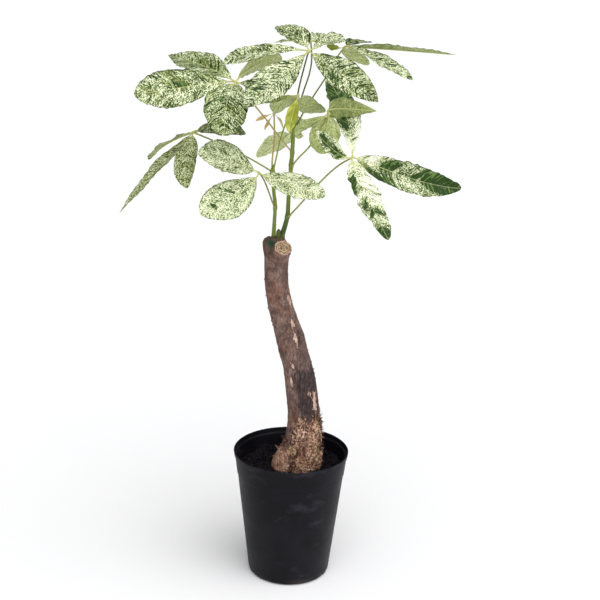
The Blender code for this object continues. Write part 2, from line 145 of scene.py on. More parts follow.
# Where the outer bark has peeled: heading in degrees, height, half width, half height and paleness
PEELS = [
    (330, 452, 4.2, 10.0, 0.8),
    (306, 418, 4.4, 6.0, 0.9),
    (296, 394, 2.8, 12.5, 0.8),
    (268, 402, 1.4, 5.0, 0.5),
    (256, 351, 3.0, 4.5, 0.75),
    (238, 323, 2.8, 11.0, 0.75),
    (300, 306, 3.0, 5.0, 0.6),
    (322, 290, 5.4, 18.0, 1.0),
    (20, 350, 3.0, 8.0, 0.8),
    (60, 330, 4.5, 12.0, 0.9),
    (130, 410, 3.6, 10.0, 0.8),
    (160, 300, 3.4, 9.0, 0.7),
    (100, 455, 2.6, 7.0, 0.8),
]
# Old leaf scars: heading in degrees, height and size
SCARS = [(286, 490, 4.5), (262, 440, 3.0), (80, 470, 4.0), (170, 380, 3.5)]
STUB_FOOT = (-25, 2, 512)
STUB_END = (-19, -14, 536)
STUB_RADIUS = 13.0
# The cut face's outer rings, as shares of the way out, and how far it stands proud along the way
CUT_STEPS = (1.0, 0.99, 0.965, 0.93, 0.9, 0.87)
CUT_LIP = [(0.0, -0.9), (0.45, -1.5), (0.8, -1.7), (0.86, -0.6), (0.93, 1.1), (0.98, 1.2), (1.0, 0.0)]
# The knob and the bud: x, y, z and radius
KNOB_LINE = [
    (-36, 4, 505, 9.0),
    (-38.5, 4.5, 523.5, 9.8),
    (-40.6, 5, 538, 9.0),
    (-39.6, 5, 543.5, 7.2),
    (-38.6, 5, 546.8, 4.2),
    (-38.2, 5, 547.8, 1.2),
]
BUD_LINE = [(-27, 6, 538, 3.2), (-27, 5, 548, 3.6), (-26.6, 4.5, 556, 3.2), (-26.4, 4.5, 559.5, 1.4)]
MOSS_PLACE = (-37.5, -5.0, 540.0)
MOSS_SIZE = 8.0
# Strips on the collar, from this height up, and flakes between the collar and their top
COLLAR_SHREDS = 800
SHRED_FOOT = 178.0
SHRED_ROWS = 7
SHRED_SEED = 77
# The left root carries no strips where it swells by more than this
LOBE_BARE = 3.0
BARK_FLAKES = 90
FLAKE_TOP = 500.0
RAGGED_WIDTH = 2.2
# Ragged places: heading, lowest and highest height, and how many strips stand out there
RAGGED_PLACES = [
    (350, 244, 262, 26),
    (355, 205, 240, 18),
    (200, 214, 226, 26),
    (160, 190, 225, 14),
    (60, 220, 255, 20),
]

# Shoots: x, y, z and radius, from the socket in the trunk's top to the tip
SHOOTS = {
    "shoot_left": [
        (-34, 9, 534, 3.4),
        (-34, 8, 544, 3.8),
        (-34, 6, 552, 3.3),
        (-33, 0, 575, 2.8),
        (-32.5, -2, 598, 2.8),
        (-35, -3, 620, 2.7),
        (-37, -3, 643, 2.8),
        (-37, -3, 653, 2.2),
    ],
    "shoot_right": [
        (-23, 10, 534, 4.2),
        (-21.5, 9, 543, 4.6),
        (-20.5, 8, 552, 4.0),
        (-14, 4, 580, 3.4),
        (-13, 3, 605, 3.1),
        (-10.5, 3, 652, 3.1),
        (-9, 2, 677, 3.0),
        (-8, 2, 700, 2.8),
        (-7, 2, 720, 2.2),
    ],
}
# How dark each shoot is at its foot, the heights where its brown foot fades, and the scales of the bud
# at its tip: heading in radians, height and lean
SHOOT_SHADES = {"shoot_left": 0.25, "shoot_right": 1.0}
FOOT_SCAR = (543.0, 552.0)
BUD_SCALES = [(0.4, 7.0, 1.6), (2.6, 6.0, 1.4), (4.6, 5.0, 1.8)]

# Rings and sides of the round meshes
MIDRIB_MESH = (40, 8)
PETIOLE_MESH = (70, 12)
HUB_MESH = (9, 14)
SHOOT_MESH = (260, 28)
BUD_MESH = (12, 8)
KNOB_MESH = (70, 48)
STUB_MESH = (60, 120)
CRUMB_MESH = (7, 9)

# Leaves
PETIOLE_RADIUS = 1.2
HUB_RADIUS = 2.1
BLADE_THICKNESS = 0.5
STALK_LENGTH = 7.0
STALK_WIDTH = 2.2
FOLD_DEGREES = 9.0
WAVES_PER_BLADE = 2.5
WAVE_SHIFT = 1.3
WIDEST_SHIFT = 1.2
BLADE_COLUMNS = 23
LEAST_ROWS = 30
ROW_SPACING = 1.4
VEIN_SPACING = 7.0
VEIN_LEAN = 0.62
VEIN_CURVE = 0.28
QUILT = 0.4
LEAF_SEED = 1000
CRINKLE = 0.035
CRINKLE_LENGTH = 4.5

# The fields up to belly are the solids' own. Dark is how much of the blade is green. Young turns it
# yellow-green, from 0 to 1, or peach where it is under 0.
Leaflet = namedtuple(
    "Leaflet",
    "heading rise length width roll arch wave point bend lean belly dark young",
    defaults=(1.5, 0.75, 0, 1.0, WIDEST_SHIFT, 0.3, 0.0),
)
# Warm turns the petiole tan and dim turns it dark. Ragged is how coarsely the margins are crinkled.
Leaf = namedtuple("Leaf", "shoot petiole leaflets warm dim ragged", defaults=(0.0, 0.0, 1.0))

# Patches by leaf and by the leaflet's number in it. Each is a place along and across the blade, its half
# length and half width there, and how strongly it turns dark, or pale where that is under 0.
F_PALE = (0.5, 0.0, 2.0, 4.0, -0.45)
PATCHES = {
    "leaf_a": {
        0: [(0.4, 0.1, 0.25, 0.5, 0.5)],
        2: [(0.72, 0.5, 0.18, 0.5, 0.4)],
        3: [(0.36, 0.5, 0.1, 0.4, 0.7), (0.85, 0.0, 0.12, 0.9, 0.5)],
    },
    "leaf_c": {
        0: [(0.44, 0.15, 0.05, 0.2, 1.5)],
        1: [(0.4, 0.0, 0.12, 0.5, 0.45)],
        2: [(0.3, 0.3, 0.05, 0.3, 0.6)],
    },
    "leaf_e": {
        0: [(0.45, 0.3, 0.03, 0.2, 0.9)],
        1: [(0.35, 0.4, 0.025, 0.3, 1.2), (0.7, 0.1, 0.03, 0.25, 1.1)],
    },
    "leaf_f": {
        0: [
            F_PALE,
            (0.12, 0.9, 0.20, 0.5, 1.7),
            (0.25, -0.35, 0.06, 0.7, 1.7),
            (0.74, -0.5, 0.34, 1.0, 1.7),
            (0.90, 0.5, 0.22, 1.0, 1.5),
        ],
        1: [
            F_PALE,
            (0.20, 0.8, 0.10, 0.6, 1.7),
            (0.47, 0.5, 0.07, 0.4, 1.6),
            (0.60, -0.1, 0.04, 1.0, 1.6),
            (0.88, 0.1, 0.16, 1.6, 1.6),
        ],
        2: [F_PALE, (0.34, -0.6, 0.13, 0.8, 1.7), (0.70, 0.0, 0.28, 1.8, 1.6)],
        3: [F_PALE, (0.62, 0.1, 0.20, 0.7, 1.7), (0.20, -0.2, 0.20, 0.8, 1.6)],
    },
}

LEAVES = {
    "leaf_a": Leaf(
        "shoot_right",
        [(-8, 0, 716), (-5, -3, 740), (-2, -5, 768), (5, -8, 800), (11, -10, 824)],
        [
            Leaflet(143, 26, 68, 39, 20, 3, 0.8, 0.67, 8, 0.83, 0.9, dark=0.6),
            Leaflet(172, -9, 124, 30, 42, 10, 0.5, 0.41, 0, 0.83, 2.00, dark=0.4),
            Leaflet(225, -30, 139, 56, 25, 5, 1.3, 0.75, -4, 1.02, 1.43, dark=0.35),
            Leaflet(321, -25, 138, 46, -42, 8, 1.7, 0.78, 2, 1.10, 1.14, dark=0.55),
            Leaflet(44, 14, 60, 26, -12, 2, dark=0.3),
        ],
        dim=0.8,
    ),
    "leaf_b": Leaf(
        "shoot_right",
        [(-6, 2, 711), (4, 11, 730), (20, 24, 756), (37, 41, 781), (54, 58, 810), (64, 66, 823)],
        [
            Leaflet(346, -1, 166, 38, 16, 2, 0.5, 0.85, 1, 0.5, 0.88, dark=0.6, young=0.2),
            Leaflet(331, -19, 119, 36, -12, 9, 1.0, 0.68, 5, 0.54, 1.32, dark=0.36),
            Leaflet(54, -26, 71, 28, 20, 2, 0.5, 0.4, -5, 1.08, 0.92),
            Leaflet(45, 4, 56, 38, -3, 3, 0.9, 0.68, -3, 0.99, 1.03, dark=0.9),
            Leaflet(163, 2, 28, 14, 32, -3, 1.0, young=0.9),
        ],
        dim=0.5,
    ),
    "leaf_c": Leaf(
        "shoot_right",
        [(-9, 2, 676), (-19, -1, 688), (-33, -6, 706), (-48, -11, 726), (-74, -20, 758), (-91, -25, 780)],
        [
            Leaflet(211, -4, 156, 55, 63, -12, 1.7, 0.59, 6, 0.5, 1.46, dark=0.55),
            Leaflet(145, 12, 130, 54, 22, 7, 1.3, 1.00, -1.5, 0.87, 0.94, dark=0.6),
            Leaflet(261, -43, 96, 62, 6, 9, 2.8, 0.44, 5, 0.88, 1.21, dark=0.65),
            Leaflet(58, 10, 121, 47, 55, 9, 0.6, 0.62, 4, 0.92, 0.94),
            Leaflet(50, -30, 54, 30, -40, 5),
        ],
        warm=0.6,
    ),
    "leaf_d": Leaf(
        "shoot_left",
        [(-37, -2, 646), (-46, 0, 652), (-74, 7, 666), (-116, 16, 684), (-156, 20, 699)],
        [
            Leaflet(201, -46, 163, 31, 9, 4, 1.4, 1.04, -2, 1.21, 0.76, dark=0.55, young=0.2),
            Leaflet(136, -29, 117, 38, 14, 6, 1.8, 0.64, 0, 1.04, 1.09, dark=0.7, young=0.2),
            Leaflet(268, -46, 97, 34, -10, -1, 1.2, 0.6, 7, 1.60, 0.97, dark=0.6, young=0.2),
            Leaflet(350, 1, 80, 43, -22, 8, 1.2, 0.71, 0, 0.89, 0.95, dark=0.7),
            Leaflet(69, -9, 103, 40, 20, 4),
        ],
        warm=0.15,
    ),
    "leaf_e": Leaf(
        "shoot_left",
        [(-33, -3, 594), (-37, -12, 606), (-43, -26, 626), (-49, -40, 644), (-56, -50, 656)],
        [
            Leaflet(198, 19, 94, 64, 36, 6, 0.5, 0.64, -1, 1.29, 1.18, dark=0.3),
            Leaflet(222, -25, 114, 56, 49, -5, 1.1, 0.6, -7, 0.64, 1.27, dark=0.25),
            Leaflet(344, -15, 103, 44, -36, -6, 0.5, 0.57, -2, 0.52, 1.17, dark=0.1),
        ],
        warm=0.3,
        dim=0.3,
    ),
    "leaf_f": Leaf(
        "shoot_right",
        [(-12, 2, 580), (2, -11, 599), (33, -34, 641), (56, -49, 667), (77, -60, 683)],
        [
            Leaflet(351, -13, 159, 41, -75, -3, 2.5, 0.55, 6, 1.43, 1.01, dark=0.4),
            Leaflet(303, -47, 136, 38, -6, 4, 2.0, 0.52, 7, 0.5, 0.86, dark=0.3),
            Leaflet(112, 44, 141, 41, 4, 4, 0.7, 0.67, 9, 1.03, 1.20, dark=0.3),
            Leaflet(197, 34, 67, 33, 46, -4, 0.5, 0.67, -6, 0.64, 0.97, dark=0.3),
        ],
        warm=0.1,
        ragged=2.6,
    ),
    "leaf_g": Leaf(
        "shoot_right",
        [(-9, 2, 655), (0, -10, 670), (16, -27, 691), (32, -46, 722), (42, -62, 744)],
        [
            Leaflet(38, -2, 88, 32, 75, 14, 2.6, 0.81, 1, 0.5, 0.5, dark=0.9),
            Leaflet(104, -64, 70, 45, -4, 6, 1.0, 0.48, 1, 0.84, 1.28),
            Leaflet(146, -33, 68, 31, -17, 2, 0.7, 0.83, -1, 1.11, 1.19),
        ],
        warm=0.2,
    ),
    "leaf_h": Leaf(
        "shoot_left",
        [(-36, -5, 649), (-32, -12, 670), (-25, -24, 704), (-12, -36, 744), (-2, -42, 766)],
        [
            Leaflet(34, -30, 54, 35, 39, 2, 1.0, 0.51, -12, 1.06, 0.71, dark=0.1),
            Leaflet(147, -38, 49, 42, -18, 6, 1.5, 0.5, dark=0.15),
            Leaflet(203, -12, 51, 13, 22, 2, 0.8, 1.0, young=0.55),
            Leaflet(250, -53, 60, 18, 10, 4, 0.8, young=1.0),
        ],
    ),
    "leaf_i": Leaf(
        "shoot_left",
        [(-38, -1, 650), (-38, 3, 664), (-36, 7, 690), (-36, 8, 712), (-37, 8, 732)],
        [
            Leaflet(216, -17, 34, 8, 24, 1, 0.4, 1.0, young=-0.8),
            Leaflet(236, -46, 32, 8, -18, 1, 0.4, 1.0, young=-0.9),
            Leaflet(309, -42, 31, 14, 60, 2, 0.4, 0.9, young=-0.7),
        ],
        warm=0.7,
    ),
    "leaf_j": Leaf(
        "shoot_right",
        [(-10, 4, 660), (-10, 27, 667), (-11, 54, 682), (-12, 78, 694)],
        [
            Leaflet(146, -37, 80, 38, -32, 3, 1.0, 0.62, 5, 0.99, 0.76, dark=0.0),
            Leaflet(78, 4, 84, 42, -15, 5),
            Leaflet(71, -27, 36, 24, -8, 3),
        ],
    ),
    "leaf_k": Leaf(
        "shoot_right",
        [(-7, 4, 717), (-3, 13, 734), (5, 39, 760), (13, 63, 783), (16, 78, 803), (14, 85, 829)],
        [
            Leaflet(58, 0, 70, 47, -15, -1, 0.7, 0.62, 0, 0.95, 1.14),
            Leaflet(335, 4, 56, 32, -28, 2),
            Leaflet(160, -6, 60, 22, 5, 2, 1.5, 1.0),
            Leaflet(100, -4, 100, 42, -20, 7),
        ],
        dim=0.8,
    ),
}


# Noise on arrays of places, from a fixed lattice of seeded values

LATTICE = 24


def value_noise(places, seed):
    """Smooth noise from -1 to 1 at an array of places."""
    table = np.random.default_rng(seed).random((LATTICE,) * 3)
    low = np.floor(places).astype(int)
    part = places - low
    part = part * part * (3.0 - 2.0 * part)
    total = np.zeros(places.shape[:-1])
    for corner in itertools.product((0, 1), repeat=3):
        index = (low + corner) % LATTICE
        weight = np.prod(np.where(corner, part, 1.0 - part), axis=-1)
        total += weight * table[index[..., 0], index[..., 1], index[..., 2]]
    return 2.0 * total - 1.0


def fractal(places, octaves, seed):
    total = np.zeros(places.shape[:-1])
    for octave in range(octaves):
        total += value_noise(places * 2.0**octave, seed + octave) / 2.0**octave
    return total


def bell(value):
    """1 at 0, and smoothly less on either side."""
    return np.exp(-(value**2))


def smooth_step(value, low, high):
    share = np.clip((value - low) / (high - low), 0.0, 1.0)
    return share * share * (3.0 - 2.0 * share)


# Curves, grids and meshes


def smooth_line(points, count):
    """Samples of a smooth curve through rows of numbers."""
    points = np.array(points, float)
    padded = np.vstack([2 * points[0] - points[1], points, 2 * points[-1] - points[-2]])
    where = np.linspace(0, len(points) - 1, count)
    start = np.minimum(where.astype(int), len(points) - 2)
    t = (where - start)[:, None]
    a, b, c, d = (padded[start + step] for step in range(4))
    return 0.5 * (2 * b + (c - a) * t + (2 * a - 5 * b + 4 * c - d) * t**2 + (3 * b - a - 3 * c + d) * t**3)


def stack(x, y, z):
    """Threes from three numbers or arrays, spread to one shape."""
    return np.stack(np.broadcast_arrays(x, y, z), axis=-1)


def full_turn(count):
    """Headings all the way round, in radians."""
    return np.linspace(0, 2 * math.pi, count, endpoint=False)


def outward_at(angle):
    """The level unit vectors at headings in radians."""
    return stack(np.cos(angle), np.sin(angle), 0.0)


def unit(vectors):
    return vectors / np.maximum(np.linalg.norm(vectors, axis=-1, keepdims=True), 1e-9)


def tube_grid(line, radii, sides):
    """Rings of points round a line, without twist."""
    ahead = unit(np.gradient(line, axis=0))
    side = np.cross(ahead[0], (0.31, 0.95, 0.07))
    turns = full_turn(sides)
    rings = []
    for place, direction, radius in zip(line, ahead, radii):
        side = unit(side - direction * side.dot(direction))
        up = np.cross(direction, side)
        ring = np.outer(np.cos(turns), side) + np.outer(np.sin(turns), up)
        rings.append(place + ring * np.broadcast_to(radius, (sides,))[:, None])
    return np.array(rings)


def grid_normals(grid):
    down = np.gradient(grid, axis=0)
    across = np.gradient(grid, axis=1)
    return unit(np.cross(across, down))


def link(name, data):
    """A new object in the scene."""
    made = bpy.data.objects.new(name, data)
    bpy.context.scene.collection.objects.link(made)
    return made


class Shell:
    """Collects grids of points in millimetres into one mesh, with facts stored at each point."""

    def __init__(self, *facts):
        self.points = []
        self.faces = []
        self.slots = []
        self.facts = {name: [] for name in facts}
        self.count = 0

    def add_points(self, points, **facts):
        flat = np.reshape(points, (-1, 3))
        self.points.append(flat)
        for name, rows in self.facts.items():
            value = np.broadcast_to(facts.get(name, (0.0, 0.0, 0.0)), np.shape(points))
            rows.append(np.reshape(value, (-1, 3)))
        first = self.count
        self.count += len(flat)
        return np.arange(first, self.count).reshape(np.shape(points)[:-1])

    def add_quads(self, index, closed=False, flip=False, slot=0):
        if closed:
            index = np.concatenate([index, index[:, :1]], axis=1)
        quads = [index[:-1, :-1], index[:-1, 1:], index[1:, 1:], index[1:, :-1]]
        if flip:
            quads.reverse()
        quads = np.stack(quads, axis=-1).reshape(-1, 4)
        self.faces.extend(quads.tolist())
        self.slots.extend([slot] * len(quads))

    def add_ring_cap(self, ring, flip=False, slot=0):
        ring = ring.tolist()
        self.faces.append(ring[::-1] if flip else ring)
        self.slots.append(slot)

    def add_round(self, index, flip=False, slot=0):
        """The faces of a stack of rings, with flat ends."""
        self.add_quads(index, closed=True, flip=flip, slot=slot)
        self.add_ring_cap(index[0], flip=not flip, slot=slot)
        self.add_ring_cap(index[-1], flip=flip, slot=slot)

    def add_tube(self, line, radii, sides, slot=0, **facts):
        index = self.add_points(tube_grid(line, radii, sides), **facts)
        self.add_round(index, flip=True, slot=slot)

    def add_sheet(self, upper, lower, upper_facts, lower_facts, slot=0):
        """Two grids that are the faces of a thin sheet, closed round its edge."""
        top = self.add_points(upper, **upper_facts)
        bottom = self.add_points(lower, **lower_facts)
        self.add_quads(top, flip=True, slot=slot)
        self.add_quads(bottom, slot=slot)
        for edge, under, flip in (
            (top[:, 0], bottom[:, 0], True),
            (top[:, -1], bottom[:, -1], False),
            (top[0], bottom[0], False),
            (top[-1], bottom[-1], True),
        ):
            self.add_quads(np.stack([edge, under], axis=1), flip=flip, slot=slot)

    def build(self, name, materials, record_slot, *nodes):
        """Makes the piece, riding on the root body."""
        mesh = bpy.data.meshes.new(name)
        mesh.from_pydata((np.vstack(self.points) * MM).tolist(), [], self.faces)
        for material in materials:
            mesh.materials.append(material)
        mesh.polygons.foreach_set("material_index", self.slots)
        for fact, rows in self.facts.items():
            attribute = mesh.attributes.new(fact, "FLOAT_VECTOR", "POINT")
            attribute.data.foreach_set("vector", np.vstack(rows).astype(np.float32).ravel())
        mesh.shade_smooth()
        mesh.update()
        piece = link(name, mesh)
        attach(piece, "root")
        if nodes:
            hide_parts(*nodes)


# Materials

# Colours are given in screen values from 0 to 255
BLADE_COLOURS = [
    (0.36, (242, 244, 216)),
    (0.44, (220, 228, 188)),
    (0.50, (174, 188, 134)),
    (0.55, (116, 134, 74)),
    (0.60, (66, 84, 30)),
    (0.68, (38, 54, 12)),
]
# The collar fibre's colours, from dark to pale; where they follow the hollow fact, the dark end is painted
# shade in the gaps between strands
FIBRE_COLOURS = [
    (0.05, (58, 40, 34)),
    (0.30, (92, 66, 54)),
    (0.50, (148, 110, 92)),
    (0.70, (192, 154, 132)),
    (0.95, (228, 200, 178)),
]


def linear(tone):
    """The linear values that nodes take."""
    shares = np.array(tone) / 255.0
    values = np.where(shares <= 0.04045, shares / 12.92, ((shares + 0.055) / 1.055) ** 2.4)
    return (*values, 1.0)


def feed(tree, socket, value):
    """Links a value to a socket, or sets the socket to it."""
    if isinstance(value, Value):
        tree.links.new(value.socket, socket)
    elif isinstance(value, bpy.types.NodeSocket):
        tree.links.new(value, socket)
    else:
        socket.default_value = value


def add_node(tree, kind, *values, **settings):
    """A node with its settings, and its first inputs fed in order where they aren't None."""
    made = tree.nodes.new(kind)
    for name, value in settings.items():
        setattr(made, name, value)
    for socket, value in zip(made.inputs, values):
        if value is not None:
            feed(tree, socket, value)
    return made


class Value:
    """A number or colour in a material. Sums, products, steps and blends of it add nodes."""

    def __init__(self, paint, socket):
        self.paint = paint
        self.socket = socket

    def __add__(self, other):
        return self.paint.math("ADD", self, other)

    def __sub__(self, other):
        return self.paint.math("SUBTRACT", self, other)

    def __rsub__(self, other):
        return self.paint.math("SUBTRACT", other, self)

    def __mul__(self, other):
        return self.paint.math("MULTIPLY", self, other)

    def __truediv__(self, other):
        return self.paint.math("DIVIDE", self, other)

    def __abs__(self):
        return self.paint.math("ABSOLUTE", self)

    __radd__ = __add__
    __rmul__ = __mul__

    def step(self, low, high):
        """From 0 at low to 1 at high, with soft ends."""
        return self.paint.add("ShaderNodeMapRange", self, low, high, interpolation_type="SMOOTHSTEP")

    def toward(self, other, share):
        """This colour blended with another, which takes the share."""
        return self.paint.blend(self, other, share)


class Paint:
    """One material and short ways to add its nodes."""

    def __init__(self, name, roughness, specular=0.5):
        self.material = bpy.data.materials.new(name)
        self.material.use_nodes = True
        self.tree = self.material.node_tree
        self.shader = self.tree.nodes["Principled BSDF"]
        self.shader.inputs["Specular IOR Level"].default_value = specular
        self.shader.inputs["Roughness"].default_value = roughness

    def add(self, kind, *values, output=0, **settings):
        return Value(self, add_node(self.tree, kind, *values, **settings).outputs[output])

    def math(self, operation, *values):
        return self.add("ShaderNodeMath", *values, operation=operation)

    def vector(self, operation, *values, output=0):
        return self.add("ShaderNodeVectorMath", *values, output=output, operation=operation)

    def split(self, vector):
        parts = add_node(self.tree, "ShaderNodeSeparateXYZ", vector).outputs
        return [Value(self, part) for part in parts[:3]]

    def fact(self, name):
        """The three parts of a fact that is stored at the points."""
        settings = {"attribute_name": name, "attribute_type": "GEOMETRY"}
        return self.split(self.add("ShaderNodeAttribute", output="Vector", **settings))

    def noise(self, vector, scale, detail=2.0, rough=0.5):
        return self.add("ShaderNodeTexNoise", vector, None, scale, detail, rough)

    def blend(self, first, second, share):
        """From the first colour at share 0 to the second at share 1."""
        made = add_node(self.tree, "ShaderNodeMix", share, data_type="RGBA")
        for index, tone in ((6, first), (7, second)):
            feed(self.tree, made.inputs[index], tone if isinstance(tone, Value) else linear(tone))
        return Value(self, made.outputs[2])

    def ramp(self, value, stops):
        """A colour that changes along the value, from (place, colour) stops."""
        made = add_node(self.tree, "ShaderNodeValToRGB", value)
        elements = made.color_ramp.elements
        while len(elements) < len(stops):
            elements.new(0.5)
        for element, (place, tone) in zip(elements, stops):
            element.position = place
            element.color = linear(tone)
        return Value(self, made.outputs[0])

    def object_place(self):
        """The place on the object, in millimetres."""
        place = self.add("ShaderNodeTexCoord", output="Object")
        return self.vector("MULTIPLY", place, (1000.0, 1000.0, 1000.0))

    def finish(self, base, roughness=None, height=None, depth=0.3, strength=0.6):
        feed(self.tree, self.shader.inputs["Base Color"], base)
        if roughness is not None:
            feed(self.tree, self.shader.inputs["Roughness"], roughness)
        if height is not None:
            bump = add_node(self.tree, "ShaderNodeBump")
            bump.inputs["Strength"].default_value = strength
            bump.inputs["Distance"].default_value = depth * MM
            feed(self.tree, bump.inputs["Height"], height)
            feed(self.tree, self.shader.inputs["Normal"], bump.outputs[0])
        return self.material


def add_sectors(paint, base, patch, amount, blocks, ribbon, flecks):
    """Whole dark and pale sectors, with ragged ends along the side veins."""
    sector = patch + 3.0 * abs(patch).step(0.03, 0.3) * (blocks - 0.5)
    deep = paint.blend((40, 66, 20), (96, 122, 62), ribbon.step(0.54, 0.6))
    deep = deep.toward((196, 208, 164), flecks.step(0.68, 0.72))
    base = base.toward(deep, sector.step(0.5, 0.55))
    pale = paint.blend((238, 241, 218), (164, 184, 138), blocks.step(0.49, 0.53))
    pale = pale.toward((92, 116, 60), amount.step(0.58, 0.64))
    return base.toward(pale, sector.step(-0.3, -0.36))


def underside(paint, dark, mottle, specks):
    """The duller green below a blade."""
    dull = paint.blend((150, 164, 86), (206, 216, 146), mottle.step(0.4, 0.62))
    dull = dull.toward((104, 120, 56), 0.45 * dark.step(0.3, 0.9))
    dull = dull.toward((226, 234, 180), 0.45 * dark.step(0.3, 0.0))
    return dull.toward((104, 118, 58), 0.4 * specks.step(0.5, 0.6))


def blade_material():
    """Cream and pale green, densely flecked with dark green, with dark or pale sectors on some blades."""
    paint = Paint("leaf_blade", 0.5, 0.16)
    along_vein, off_midrib, seed = paint.fact("vein")
    along, edge, face = paint.fact("place")
    dark, patch, young = paint.fact("tint")
    shift = seed * 37.0

    def blade_noise(stretch, *settings):
        """Noise whose marks are drawn out along the side veins as the stretch gets smaller."""
        place = paint.add("ShaderNodeCombineXYZ", along_vein, off_midrib * stretch, shift)
        return paint.noise(place, *settings)

    coarse = blade_noise(1.0, 0.07)
    flecks = blade_noise(0.45, 0.5, 2.0, 0.6)
    specks = blade_noise(1.0, 0.66, 2.0, 0.6)
    slashes = blade_noise(0.25, 0.28, 1.0)
    blocks = blade_noise(0.32, 0.17, 4.0, 0.68)
    ribbon = blade_noise(0.3, 0.3)
    mottle = blade_noise(1.0, 0.24, 4.0, 0.7)
    wash = blade_noise(1.0, 0.035)

    # How green each place is, with more green where the blade is dark or at its margin
    amount = 1.15 * (specks - 0.5) + 0.5 + 0.6 * (flecks - 0.5) + 0.35 * (coarse - 0.5)
    amount = amount + 0.16 * (dark - 0.3) + 0.08 * edge.step(0.88, 1.0) + 0.1 * patch
    base = paint.ramp(amount, BLADE_COLOURS)
    base = base.toward((140, 152, 62), 0.22 * wash.step(0.5, 0.6) * dark.step(0.3, 0.6))
    streaked = wash.step(0.4, 0.5) * dark.step(0.2, 0.36)
    base = base.toward((38, 60, 24), slashes.step(0.585, 0.62) * streaked)
    base = add_sectors(paint, base, patch, amount, blocks, ribbon, flecks)

    # The paler foot of each blade, and young leaves
    base = base.toward((196, 202, 130), 0.4 * along.step(0.2, 0.04))
    fresh = paint.blend((140, 148, 48), (184, 188, 92), coarse.step(0.4, 0.6))
    peach = paint.blend((226, 190, 134), (240, 222, 166), coarse)
    base = base.toward(fresh, young.step(0.0, 1.0)).toward(peach, young.step(0.0, -1.0))

    # Side veins and midrib are furrows above and ribs below, where the blade is duller
    vein_line = abs(paint.math("FRACT", along_vein / VEIN_SPACING) - 0.5).step(0.44, 0.5)
    midrib_line = abs(off_midrib).step(1.0, 0.3)
    lines = paint.math("MAXIMUM", 0.4 * vein_line, midrib_line)
    under = 1.0 - face
    dull = underside(paint, dark, mottle, specks)
    below = dull.toward(base, 0.75 * abs(young) + 0.25).toward((192, 200, 140), 0.45 * lines)
    base = base.toward((216, 222, 176), 0.25 * lines).toward(below, under)
    height = 1.2 * flecks + lines * (2.0 * under - 1.0)
    return paint.finish(base, 0.25 * flecks + 0.4, height, 0.4, 0.7)


def petiole_material():
    """Leaf stalks: green, tan or dark by their tint, and pale cream where the leaflets meet."""
    paint = Paint("petiole", 0.45, 0.2)
    warm, dim, pale = paint.fact("tint")
    mottle = paint.noise(paint.object_place(), 0.35, 3.0, 0.6)
    tan = paint.blend((166, 136, 88), (220, 192, 144), mottle)
    base = paint.blend((108, 124, 46), (158, 170, 80), mottle).toward(tan, warm)
    base = base.toward((72, 88, 34), dim).toward((208, 208, 138), pale)
    return paint.finish(base, 0.45, mottle, 0.15, 0.3)


def shoot_material():
    """Green stems: yellow-green above, darker and brown-scarred at the foot."""
    paint = Paint("green_shoot", 0.4, 0.25)
    share, foot, side = paint.fact("place")
    place = paint.object_place()
    fibre = paint.noise(paint.vector("MULTIPLY", place, (1.0, 1.0, 0.18)), 0.8, 3.0, 0.6)
    blotch = paint.noise(place, 0.12, 3.0, 0.6)
    lenticels = paint.noise(place, 0.9, 1.0)
    green = paint.blend((88, 108, 36), (136, 150, 64), fibre)
    green = green.toward((124, 142, 54), share.step(0.35, 0.95))
    shaded = paint.blend((26, 54, 22), (58, 92, 38), fibre)
    green = green.toward(shaded, 0.9 * side)
    green = green.toward((150, 160, 76), 0.3 * blotch.step(0.55, 0.7))
    base = green.toward((74, 48, 36), foot * blotch.step(0.25, 0.5))
    base = base.toward((176, 172, 120), 0.5 * lenticels.step(0.66, 0.72))
    return paint.finish(base, 0.42, fibre, 0.2, 0.4)


